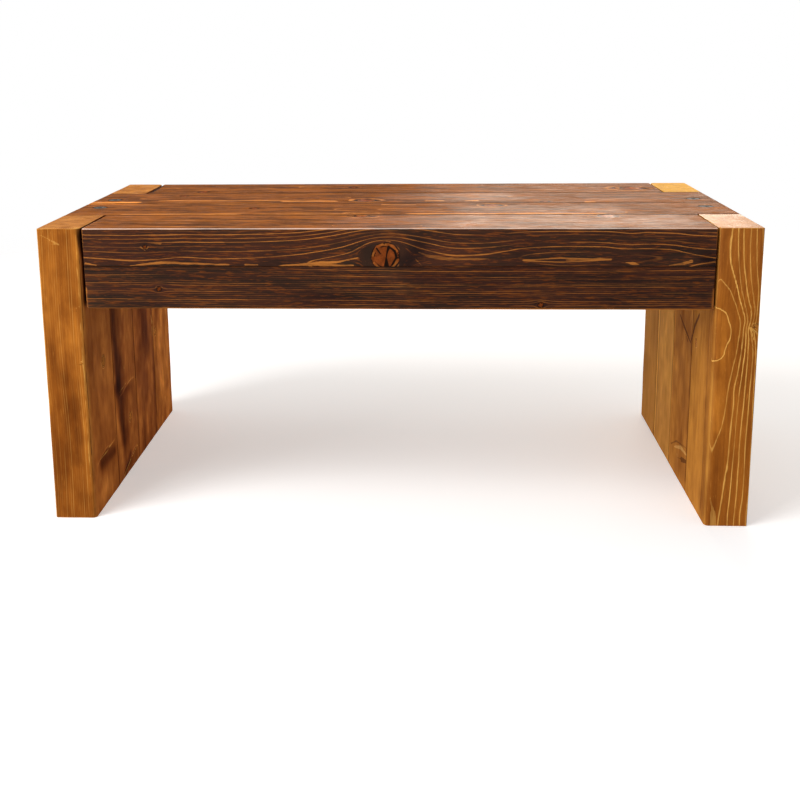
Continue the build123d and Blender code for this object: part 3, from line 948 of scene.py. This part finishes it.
planks = {
    "front_top_plank": plank_of(
        "x", dark_stain, 3, spacing=4.4, corners=(C, S, R, S), wander=0.1, tone=0.1, polish=0.0026,
        edge_polish=0.9, phase=0.22, step=2.9, **TOP_FACE,
        pith=((-520, -250.5, 434), (-474, -249.4, 434), (-422, -248.5, 434), (-384, -248.9, 434),
            (-344, -249.8, 434), (-290, -249, 434), (-231, -249.2, 434), (-150, -251.2, 434),
            (-110, -253.2, 435), (-70, -254.6, 437), (-18, -254.8, 440), (45, -254, 442),
            (96, -252.65, 439.5), (122, -252.8, 439.5), (150, -253.4, 440), (201, -256, 442.5),
            (250, -257.45, 443), (300, -257.5, 443), (336, -256.8, 443), (355, -256.1, 442),
            (372, -256.9, 440), (390, -256.1, 442), (405, -255.9, 442), (438, -254.8, 442),
            (465, -252.8, 441), (520, -251.4, 440)),
        finer_c=((442, 8, 1.6),),
        knots=((-14.5, 449, 22.5, "b-"), (-400, 465, 3.2, "b-"), (-60, -158, 12, "c+"),
            (351, -163, 15, "c+")),
        face_tones=((1, -1, -2.15, 1.3, 0.25), (2, -1, -0.6, 1, 0.6)),
        strokes=front((22, 440, 40, 470, 16, -0.7), (-390, 456, -340, 458, 14, -0.3),
            (400, 455, 480, 470, 14, -0.3), (486, 447, 505, 441, 12, -1.3)),
        bold=front((-498, 447, -380, 441, 4, 0.9), (-300, 442, -210, 444, 4, 0.8),
            (50, 452, 170, 451, 6, 0.9), (170, 453, 320, 462, 4, 0.5)),
        polished=top((-20, -220, 420, -220, 80, 0.0105)),
        loops=front((203, 443.5, 262, 444, 0.4, 3.4), (262, 444, 340, 445, 3.4, 0.5)),
        tongues=front((270, 444, 322, 445.5, 0.6, 2.4, 0.75), (322, 445.5, 342, 444.5, 2.4, 0.6, 0.75),
            (202, 443.5, 222, 443, 0.9, 1.3, 0.8), (362, 440.5, 374, 438.5, 0.6, 2.8, 1),
            (374, 438.5, 384, 437, 2.8, 0.8, 1), (430, 435.5, 452, 438.5, 0.8, 2.8, 0.55),
            (452, 438.5, 465, 442, 2.8, 3.2, 0.85), (-186, 434.5, -150, 436.5, 0.8, 1.8, 1),
            (-150, 436.5, -118, 438, 1.8, 3.4, 1), (-118, 438.5, -88, 441, 3.4, 1.6, 1),
            (-88, 441, -58, 447.5, 1.6, 0.9, 1), (-118, 435.5, -66, 435, 2, 1.6, 0.9),
            (-425, 434.5, -375, 439.5, 0.7, 2.4, 0.9), (-375, 439.5, -265, 436, 2.4, 0.9, 0.9),
            (-240, 436, -218, 436, 1.1, 0.9, 0.9), (-390, 470, -374, 471, 1.4, 2.2, 0.55),
            (-408, 466, -400, 460, 1, 1.6, 0.5), (-400, 460, -392, 467, 1.6, 0.8, 0.5),
            (-498, 438.5, -480, 435, 1.6, 0.6, 0.9), (-498, 480, -470, 477, 0.7, 0.5, 0.6),
            (38, 456.5, 55, 450, 0.6, 2.2, 0.3), (55, 450, 85, 445.5, 2.2, 2.6, 0.4),
            (85, 445.5, 150, 446, 2.6, 0.9, 0.5), (32, 447, 43, 435, 0.4, 0.4, 0.4),
            (-44, 437, -47.5, 444, 0.4, 0.7, 0.45), (-47.5, 444, -45, 452, 0.7, 0.4, 0.4),
            (-40, 435.5, -42, 441, 0.5, 0.5, 0.45), (-9, 465, -12, 455, 2.4, 1.2, -1),
            (-12, 455, -13, 447.5, 1.2, 1, -1), (-13, 447.5, -13, 434, 1, 3.4, -1),
            (-8, 464.5, 0.5, 458.5, 0.9, 1.7, -1), (0.5, 458.5, 3, 448, 1.7, 1.7, -1),
            (3, 448, -4, 436, 1.7, 0.9, -1), (-28.5, 463, -22, 453.5, 1.6, 1, -1)),
        eyes=top_knot(-60, -166, 32, 14) + top_knot(351, -168, 34, 14, 0.6),
    ),
    "front_rail": plank_of(
        "x", dark_stain, 7, spacing=3.1, corners=(R * 1.4, S, C, S), wander=0.7, tone=-0.08, lines=0.42,
        smudge=0.9, uneven_tone=0.12, mottle=0.04, step=2.8, end_ease=(5, 2),
        pith=((-520, -235, 235), (-200, -228, 238), (100, -236, 232), (520, -230, 236)),
        knots=((-380, 396, 4, "b-"), (232, 371, 4.5, "b-")),
        face_tones=((1, -1, -2.15, 1.5, 0.2), (2, -1, -0.6, 1, 0.6)),
        strokes=front((60, 400, 500, 400, 70, -0.28), (-20, 427, 10, 402, 16, 0.55),
            (-130, 380, -80, 370, 22, -0.45), (-500, 395, -490, 370, 20, 0.35)),
    ),
    "front_middle_top_plank": plank_of(
        "x", dark_stain, 11, spacing=4.2, corners=(S, S, S, S), tone=0.1, polish=0.0022, step=3.3,
        **TOP_FACE,
        pith=((-580, -78, 405), (-200, -70, 399), (0, -82, 408), (300, -66, 400), (580, -74, 404)),
        screw_holes=((-540, -50), (540, -50)),
        knots=((166, -31, 16, "c+"), (-257, -62, 8, "c+")),
        strokes=top((-570, -4, -490, -3, 10, 0.9)),
        polished=top((140, -90, 360, -90, 50, 0.0042)),
        tongues=top((-205, -6, -470, -5, 3.5, 2, 0.6), (-35, -20, 35, -21, 4.5, 2, 0.8),
            (-487, -134.5, -260, -134.5, 5.5, 4.5, 0.95), (-260, -134.5, -10, -134.5, 4.5, 4.5, 0.65),
            (-10, -134, 370, -134, 6, 5.5, 1.3)),
        eyes=top_knot(166, -31, 26, 20) + top_knot(-62, -125, 30, 13) + top_knot(360, -122, 32, 16, 0.75),
    ),
    "back_middle_top_plank": plank_of(
        "x", dark_stain, 17, spacing=4.5, corners=(S, S, S, S), tone=0.1, polish=0.0022, step=3.3,
        **TOP_FACE,
        pith=((-580, 65, 395), (-250, 78, 402), (50, 68, 393), (350, 82, 401), (580, 70, 396)),
        screw_holes=((-540, 50), (540, 50)),
        knots=((-63, 36, 18, "c+"), (266, 18, 8, "c+"), (-420, 105, 8, "c+")),
        strokes=top((-570, 12, -500, 14, 12, 0.8)),
        polished=top((0, 80, 180, 70, 50, 0.0045)),
        tongues=top((-590, 8, -475, 17, 8, 6, 1.3), (-465, 38, -205, 35, 5, 5.5, 0.9),
            (-225, 28, -110, 26, 9, 5, 1.4), (43, 29, 83, 28, 3, 7, 1.3), (118, 28, 147, 27, 3, 7, 1.3),
            (336, 8, 356, 8, 7, 4, 1.3)),
        eyes=top_knot(-63, 40, 30, 22),
    ),
    "back_top_plank": plank_of(
        "x", dark_stain, 23, spacing=4.3, corners=(S, C, S, R), tone=0.15, polish=0.0018, **TOP_FACE,
        pith=((-520, 225, 402), (-100, 214, 396), (200, 226, 404), (520, 216, 399)),
        knots=((-394, 166, 11, "c+"), (456, 205, 24, "c+"), (-100, 230, 8, "c+"), (170, 462, 13, "b+")),
        face_tones=((1, 1, -2.15, 1.5, 0.4), (2, -1, -0.6, 1, 0.6)),
        # The dark line at X -498.5 on the top is painted shade in the gap at the plank's end.
        tongues=top((-498.5, 150, -498.5, 270, 5, 2.5, -0.9)),
        eyes=top_knot(446, 205, 45, 32) + top_knot(-180, 235, 30, 18) + ((-394, 168, 16, 18, 2, 0.4),),
    ),
    "back_rail": plank_of(
        "x", dark_stain, 29, spacing=4.2, corners=(S, R * 1.4, S, C), tone=-0.15, lines=0.5, smudge=0.9,
        step=3.6, end_ease=(5, 2),
        pith=((-520, 262, 300), (-200, 256, 318), (100, 250, 305), (520, 259, 322)),
        knots=((310, 395, 12, "b+"), (-270, 404, 7, "b+")),
        face_tones=((1, 1, -2.15, 1.5, 0.2), (2, -1, -0.6, 1, 0.6)),
    ),
    # On the legs' faces towards the middle, the added tone in face_tones is partly painted light: it makes
    # these faces, under the top, lighter than the lamps alone do.
    "left_leg_front_plank": plank_of(
        "z", honey_stain, 31, spacing=3.6, corners=(R, T, S, S), lines=0.35, smudge=0.25,
        uneven_tone=0.28, mottle=0.24, edge_polish=0.3, step=2.5,
        pith=((-20, -400, -250), (150, -395, -262), (300, -402, -250), (510, -398, -256)),
        knots=((250, -200, 11, "b-"),),
        face_tones=((1, 1, 0.2, 0.2, 1.6),),
        face_bands=((1, 1, 0.15, 0, 0.6),),
        face_tints=((1, 1, 0, 0.5),),
        # The two pale strokes at X -519 and -512, along the inner front corner, are a painted highlight on
        # that corner.
        strokes=front((-519, 360, -513, 50, 6, 0.45), (-512, 480, -510, 370, 5, 0.35),
            (-560, 20, -565, 200, 45, -0.4), (-540, 0, -540, 120, 45, -0.3),
            (-555, 360, -552, 280, 16, 0.28), (-565, 300, -560, 240, 12, -0.3),
            (-535, 240, -532, 100, 10, -0.3), (-530, 480, -530, 380, 10, -0.18),
            (-555, 400, -555, 440, 20, 0.25))
        # On the inner face, the dark stroke at (-240, 78) is a painted shadow below the ridge, and the
        # dark strokes at (-285, 482) and (-277, 376) are painted shade in the gap beside the top.
        + left_inside((-240, 78, -165, 74, 12, -1.3), (-240, 22, -180, 30, 28, 0.6),
            (-285, 482, -150, 482, 12, -3), (-277, 376, -277, 490, 7, -3.2),
            (-180, 300, -170, 160, 35, 0.42)),
        ridges=left_inside((-275, 83, -146, 92, 1.1, 30)),
        tongues=front((-528, 360, -518, 358.5, 0.3, 0.7, -0.6),
            (-518, 358.5, -512, 363.5, 0.8, 0.5, -0.7), (-522, 362.2, -512, 366.8, 0.6, 0.9, 0.7),
            (-525, 270, -515, 268.5, 0.3, 0.7, -0.6), (-515, 268.5, -508, 274, 0.8, 0.5, -0.7),
            (-519, 272.2, -508, 277, 0.6, 0.9, 0.7), (-570, 485, -558, 479, 0.5, 1, 0.5),
            (-555, 477, -540, 469, 1.2, 2, 0.35), (-556, 470, -536, 468, 0.4, 1.2, 0.3))
        # A pale line and a dark line along the rounded inner front corner, painted so that the corner
        # looks sharp: the pale one a painted highlight, the dark one painted shade on the turn.
        + on_face(1, FRONT_Y + 0.5 * MM)((-512, 485, -512, 5, 0.9, 0.9, 0.7))
        + on_face(1, FRONT_Y + 2.2 * MM)((-508, 485, -508, 5, 0.9, 0.9, -0.75))
        # Pale tongues along the torn ridge's crest: a painted highlight.
        + left_inside((-272, 89, -210, 88.5, 0.8, 1.3, 0.9), (-210, 88.5, -146, 96, 1.3, 0.8, 0.9)),
    ),
    "left_leg_front_middle_plank": plank_of(
        "z", honey_stain, 37, spacing=4.2, corners=(S, S, S, S), smudge=0.25, uneven_tone=0.45,
        mottle=0.32, step=2.5,
        pith=((-20, -545, -70), (150, -550, -76), (300, -540, -68), (440, -548, -74)),
        knots=((300, -100, 12, "b-"), (100, -50, 9, "b+")),
        face_tones=((1, 1, 0.25, 0.2, 1.6),),
        face_bands=((1, 1, 0.15, 0, 0.6),),
        face_tints=((1, 1, -0.02, 0.5),),
        strokes=left_inside((-134, 360, -118, 180, 21, -1.9), (-118, 180, -98, 70, 18, -1.6),
            (-75, 160, -30, 152, 8, -0.5), (-95, 10, -65, 30, 10, -1.4), (-30, 150, -30, 30, 30, 0.25),
            (-20, 380, -10, 200, 12, -0.5), (-70, 370, -55, 220, 22, 0.3)),
        ridges=left_inside((-125, 153, -4, 166, 1.1, 30), (-130, 6, -4, 30, 1.2, 20)),
        tongues=left_inside((-2, 380, -2, 160, 1.6, 1.6, -0.9), (-112, 166, -70, 170, 0.9, 1, 0.55),
            (-70, 170, -13, 165, 1, 0.7, 0.55), (-117, 3, -60, 19, 1, 1.4, 0.8),
            (-60, 19, -11, 29, 1.4, 0.8, 0.8)),
    ),
    "left_leg_back_middle_plank": plank_of(
        "z", honey_stain, 41, spacing=4.2, corners=(S, S, S, S), smudge=0.25, uneven_tone=0.45,
        mottle=0.34,
        pith=((-20, -547, 75), (150, -540, 68), (300, -550, 77), (440, -545, 70)),
        knots=((160, 90, 10, "b-"),),
        face_tones=((1, 1, 0.18, 0.2, 1.6),),
        face_bands=((1, 1, 0.15, 0, 0.6),),
        face_tints=((1, 1, -0.04, 0.5),),
        strokes=left_inside((70, 300, 80, 210, 35, -0.9), (65, 140, 68, 100, 20, -0.8),
            (20, 65, 10, 25, 14, 0.7), (110, 150, 90, 20, 30, 0.35), (137, 380, 137, 0, 7, -0.9)),
        tongues=left_inside((136, 250, 142, 232, 1.5, 2, 0.7), (141, 224, 141, 205, 2, 1.2, 0.7)),
    ),
    "left_leg_back_plank": plank_of(
        "z", honey_stain, 43, spacing=4.2, corners=(S, S, R, T), mottle=0.3, edge_polish=0.2,
        pith=((-20, -543, 215), (150, -550, 222), (300, -540, 212), (510, -547, 220)),
        knots=((210, 164, 8, "b+"), (360, 230, 12, "b-")),
        face_tones=((1, 1, 0.66, 0.2, 1.6), (0, 1, 0.1, 1, 1)),
        face_bands=((1, 1, 0.15, 0, 0.6),),
        face_tints=((1, 1, -0.04, 0.3), (0, 1, -0.03, -0.1)),
        # On the inner face, the dark stroke at (150, 482) is painted shade in the gap beside the top, the
        # pale diagonal stroke from (275, 280) is a painted patch of light, and the dark diagonal one from
        # (245, 330) is painted shade.
        strokes=left_inside((150, 482, 285, 482, 12, -3), (275, 280, 190, 180, 22, 0.45),
            (250, 180, 190, 20, 30, 0.4), (245, 330, 160, 230, 20, -0.55), (160, 120, 200, 0, 25, -0.3)),
        tongues=left_inside((150, 215, 152, 235, 1.2, 1.6, 0.7)),
    ),
    "right_leg_front_plank": plank_of(
        "z", honey_stain, 47, spacing=4.2, corners=(T, R, S, S), tone=0.08, lines=1, smudge=0.25,
        edge_polish=0.3, step=2.5,
        pith=((-20, 507, -245), (250, 515, -243), (510, 509, -240)),
        knots=((335, 573, 15, "c-", 0.5), (280, -172, 7, "b-"), (200, -230, 11, "b+")),
        face_tones=((1, -1, 0.58, 0.2, 1.2),),
        face_bands=((1, -1, 0.15, 0, 0.6),),
        face_tints=((1, -1, 0.16, 0.4),),
        strokes=front((514, 348, 513, 300, 14, 0.4), (516, 245, 519, 165, 8, 0.45),
            (545, 310, 552, 240, 9, -0.25))
        + right_inside((-195, 325, -155, 300, 16, -0.45), (-275, 480, -275, 20, 20, -0.45),
            (-257, 360, -262, 20, 3, -0.6)),
        polished=top((545, -260, 545, -170, 90, 0.05)),
        tongues=right_inside((-188, 332, -158, 305, 2.5, 4, -0.75), (-158, 305, -147, 286, 4, 3, -0.8))
        + front((520.5, -3, 519, 24, 6, 4.5, 0.45), (519, 24, 513, 50, 3, 0.7, 0.45),
            (572, 348, 561, 336, 0.5, 0.9, -0.6), (561, 335, 572, 327, 1.8, 1.2, 0.6),
            (561, 335, 568, 315, 1.6, 0.6, 0.6)),
        drawn=((-5, 500, 527.5, 543, 552.5, 563, 572), (20, 500, 529, 542.5, 553, 562.5, 572),
            (46, 502, 532, 544, 554.5, 564.3, 573), (81, 504, 535, 545, 555, 564.8, 575),
            (115, 508, 538.5, 546, 555.7, 564.3, 574), (146, 517, 539, 547, 555.5, 564, 573.8),
            (174, 525.5, 540, 547.6, 556.2, 564.7, 573), (208, 530, 541.8, 549, 557.6, 565.5, 572.2),
            (236, 532.4, 541.5, 550.5, 558.3, 566, 572), (263, 536, 546, 552.6, 559, 567, 572),
            (299, 542.3, 549.5, 554.8, 559.5, 567, 571.5),
            (315, 543.8, 550.3, 555.3, 559.5, 564.8, 569.4), (332, 545, 550.6, 554.8, 557.9, 562.3, 567),
            (348, 544.3, 552, 556.2, 561, 565.5, 569.5), (364, 539.5, 548, 552.7, 560.9, 566.6, 570.1),
            (380, 533.2, 543, 548.7, 556, 564, 570.3), (396, 526, 538.5, 544.7, 552.7, 561, 570),
            (416, 509.7, 532.8, 541, 549.3, 557.7, 568), (441, 492, 525.3, 537.6, 545.8, 555.5, 565.2),
            (468, 486, 523.8, 535.3, 543.7, 554, 563.6), (498, 484, 526.8, 534.4, 542, 554.2, 562.6)),
        bays=(((270, 490), (279, 506), (283.5, 516), (289, 521), (299, 523.6), (307, 526.3),
            (315, 529.7), (325, 531.5), (335, 531), (346, 527.3), (356, 523.7), (362, 518.7),
            (365.5, 512), (368, 504), (380, 470)),),
        drawn_bold=(0.52, 0.74, 0.4, 0.78, 0.44, 0.4),
    ),
    "right_leg_front_middle_plank": plank_of(
        "z", light_honey_stain, 53, spacing=4.2, corners=(S, S, S, S), smudge=0.3, uneven_tone=0.2,
        mottle=0.25, step=2.5,
        pith=((-20, 543, -70), (150, 550, -76), (300, 540, -68), (440, 547, -74)),
        knots=((330, -60, 11, "b+"),),
        face_tones=((1, -1, 0.24, 0.2, 1.2),),
        face_bands=((1, -1, 0.25, 0, 0.6),),
        face_tints=((1, -1, -0.08, -0.25),),
        strokes=right_inside((-60, 250, -85, 80, 30, -0.3), (-60, 298, -125, 290, 22, -0.5),
            (-70, 26, -130, 36, 24, -0.45), (-115, 270, -125, 60, 26, -0.38),
            (-142, 280, -142, 20, 4, -0.7), (-3, 400, -3, 20, 4, 0.5), (-10, 234, -14, 214, 3, -0.6)),
        tongues=right_inside((-45, 297, -79, 285, 2.5, 4, -0.65), (-79, 285, -131, 270, 4, 1.8, -0.8),
            (-85, 276, -112, 266, 1, 2.2, -0.55), (-146, 286, -132, 268, 3, 1.5, -0.75),
            (-18, 44, -60, 64, 1.6, 2.2, -0.55), (-60, 64, -142, 80, 2.2, 1.4, -0.5),
            (-45, 48, -100, 66, 1.5, 4.5, 0.55), (-100, 66, -144, 68, 4.5, 2, 0.55),
            (-76, 38, -110, 48, 1, 2.5, -0.65), (-106, 46, -145, 56, 5.5, 3, -0.7)),
    ),
    "right_leg_back_middle_plank": plank_of(
        "z", light_honey_stain, 59, spacing=4.2, corners=(S, S, S, S), smudge=0.25, uneven_tone=0.15,
        mottle=0.2,
        pith=((-20, 545, 75), (150, 540, 68), (300, 550, 77), (440, 543, 70)),
        knots=((120, 50, 10, "b+"),),
        face_tones=((1, -1, 0.62, 0.2, 1),),
        face_bands=((1, -1, 0.15, 0, 0.6),),
        face_tints=((1, -1, 0, 0),),
        strokes=right_inside((139, 400, 139, 20, 6, 0.45), (128, 400, 128, 20, 3, -0.6)),
    ),
    "right_leg_back_plank": plank_of(
        "z", light_honey_stain, 61, spacing=4.2, corners=(S, S, T, R), smudge=0.25, polish=0.001,
        pith=((-20, 547, 215), (150, 540, 222), (300, 550, 212), (510, 543, 220)),
        knots=((300, 210, 12, "b+"),),
        face_tones=((1, -1, 0.35, 0.2, 1), (0, 1, 0.6, 1, 1)),
        face_bands=((1, -1, 0.15, 0, 0.6),),
        face_tints=((1, -1, -0.02, -0.1), (0, 1, -0.1, -0.62)),
    ),
}
for side, way in (("left", -1), ("right", 1)):
    planks[side + "_cross_batten"] = plank_of(
        "y", bare_wood, 67 + way, spacing=3.6, corners=(R, R, R, R), lines=0.5, step=4,
        pith=((-240, 330, way * 262), (0, 334, way * 270), (240, 329, way * 266)),
        knots=((60 * way, 400, 7, "c+"),))

for name, plank in planks.items():
    plank_surface(name, plank)

# CAD pieces that keep their shape
for name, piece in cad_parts.items():
    if name not in planks:
        for slot in piece.material_slots:
            slot.material = zinc if "screw" in name else pin_wood


# Floor, lights and camera

def seen_directly(node):
    """1 for what the camera sees straight, in gloss or through clear things, and 0 for the rest."""
    camera_ray, glossy_ray, transmission_ray = (
        node("ShaderNodeLightPath", {}, output=f"Is {kind} Ray")
        for kind in ("Camera", "Glossy", "Transmission"))
    return larger(larger(camera_ray, glossy_ray), transmission_ray)


def floor_paint():
    """White floor that takes the bench's shadow. A little of its own light, for the camera and
    for glossy and clear rays, brings its lit part to plain white, and far out it fades away."""
    material, node = new_material("white_floor")
    rise, _, _ = helpers(node)
    place = node("ShaderNodeTexCoord", {}, output="Object")
    far = rise(node("ShaderNodeVectorMath", {0: place}, output=1, operation="LENGTH"), 1.6, 3.2)
    paint = node("ShaderNodeBsdfDiffuse", {"Color": (0.86, 0.86, 0.86, 1)})
    own_light = seen_directly(node) * 0.34
    glow = node("ShaderNodeEmission", {"Color": (1, 1, 1, 1), "Strength": own_light})
    lit = node("ShaderNodeAddShader", {0: paint, 1: glow})
    clear = node("ShaderNodeBsdfTransparent", {})
    node("ShaderNodeOutputMaterial", {0: node("ShaderNodeMixShader", {0: far, 1: lit, 2: clear})})
    return material


FLOOR_REACH = 4.0
floor_mesh = bpy.data.meshes.new("floor")
floor_corners = [(FLOOR_REACH * x, FLOOR_REACH * y, 0) for x, y in ((-1, -1), (1, -1), (1, 1), (-1, 1))]
floor_mesh.from_pydata(floor_corners, [], [(0, 1, 2, 3)])
floor_mesh.update()
floor = bpy.data.objects.new("floor", floor_mesh)
floor.data.materials.append(floor_paint())
bpy.context.collection.objects.link(floor)


def lamp(name, place, aim, size, power, colour=(1, 1, 1)):
    """A soft rectangular lamp at place that faces aim."""
    light = bpy.data.lights.new(name, "AREA")
    light.shape = "RECTANGLE"
    light.size, light.size_y = size
    light.energy = power
    light.color = colour
    holder = bpy.data.objects.new(name, light)
    way = Vector(aim) - Vector(place)
    holder.matrix_world = Matrix.Translation(place) @ way.to_track_quat("-Z", "Y").to_matrix().to_4x4()
    bpy.context.collection.objects.link(holder)


# The share of the sky's white that lights the bench
SKY_LIGHT = 0.50

lamp("key", (-1.8, -1.8, 2.8), (0, 0, 0.4), (1.6, 1.6), 62)
lamp("low key", (-2.6, -1.9, 0.95), (0.1, 0, 0.25), (1.3, 1.3), 38)
lamp("window", (0.75, 3.0, 1.15), (0.2, 0, 0.5), (1.4, 0.8), 40, (1.0, 0.84, 0.68))

world = bpy.data.worlds.new("studio")
world.use_nodes = True
node = node_maker(world.node_tree)
level = node("ShaderNodeMapRange", {0: seen_directly(node), 3: SKY_LIGHT, 4: 1.0})
sky = node("ShaderNodeBackground", {"Color": (1, 1, 1, 1), "Strength": level})
node("ShaderNodeOutputWorld", {"Surface": sky})
bpy.context.scene.world = world

# The camera that was fitted to the photo: its place, its turns, its focal length, and where in
# the photo, in pixels, its axis meets the picture
CAMERA_PLACE = (0.05967, -2.06125, 0.78150)
PITCH, YAW, ROLL = 0.205576, -0.055766, -0.009979
FOCAL_PIXELS, PHOTO_PIXELS = 1137.68, 800
AXIS_X_PIXEL, AXIS_Y_PIXEL = 370, 280
forward = Vector((np.sin(YAW) * np.cos(PITCH), np.cos(YAW) * np.cos(PITCH), -np.sin(PITCH)))
level_right = Vector((np.cos(YAW), -np.sin(YAW), 0))
level_up = level_right.cross(forward)
right = np.cos(ROLL) * level_right + np.sin(ROLL) * level_up
up = -np.sin(ROLL) * level_right + np.cos(ROLL) * level_up
view = bpy.data.cameras.new("view")
view.sensor_width = 36
view.lens = FOCAL_PIXELS * view.sensor_width / PHOTO_PIXELS
view.shift_x = 0.5 - AXIS_X_PIXEL / PHOTO_PIXELS
view.shift_y = AXIS_Y_PIXEL / PHOTO_PIXELS - 0.5
camera = bpy.data.objects.new("view", view)
turn = Matrix((right, up, -forward)).transposed().to_4x4()
camera.matrix_world = Matrix.Translation(CAMERA_PLACE) @ turn
bpy.context.collection.objects.link(camera)
bpy.context.scene.camera = camera
bpy.context.scene.view_settings.view_transform = "Standard"
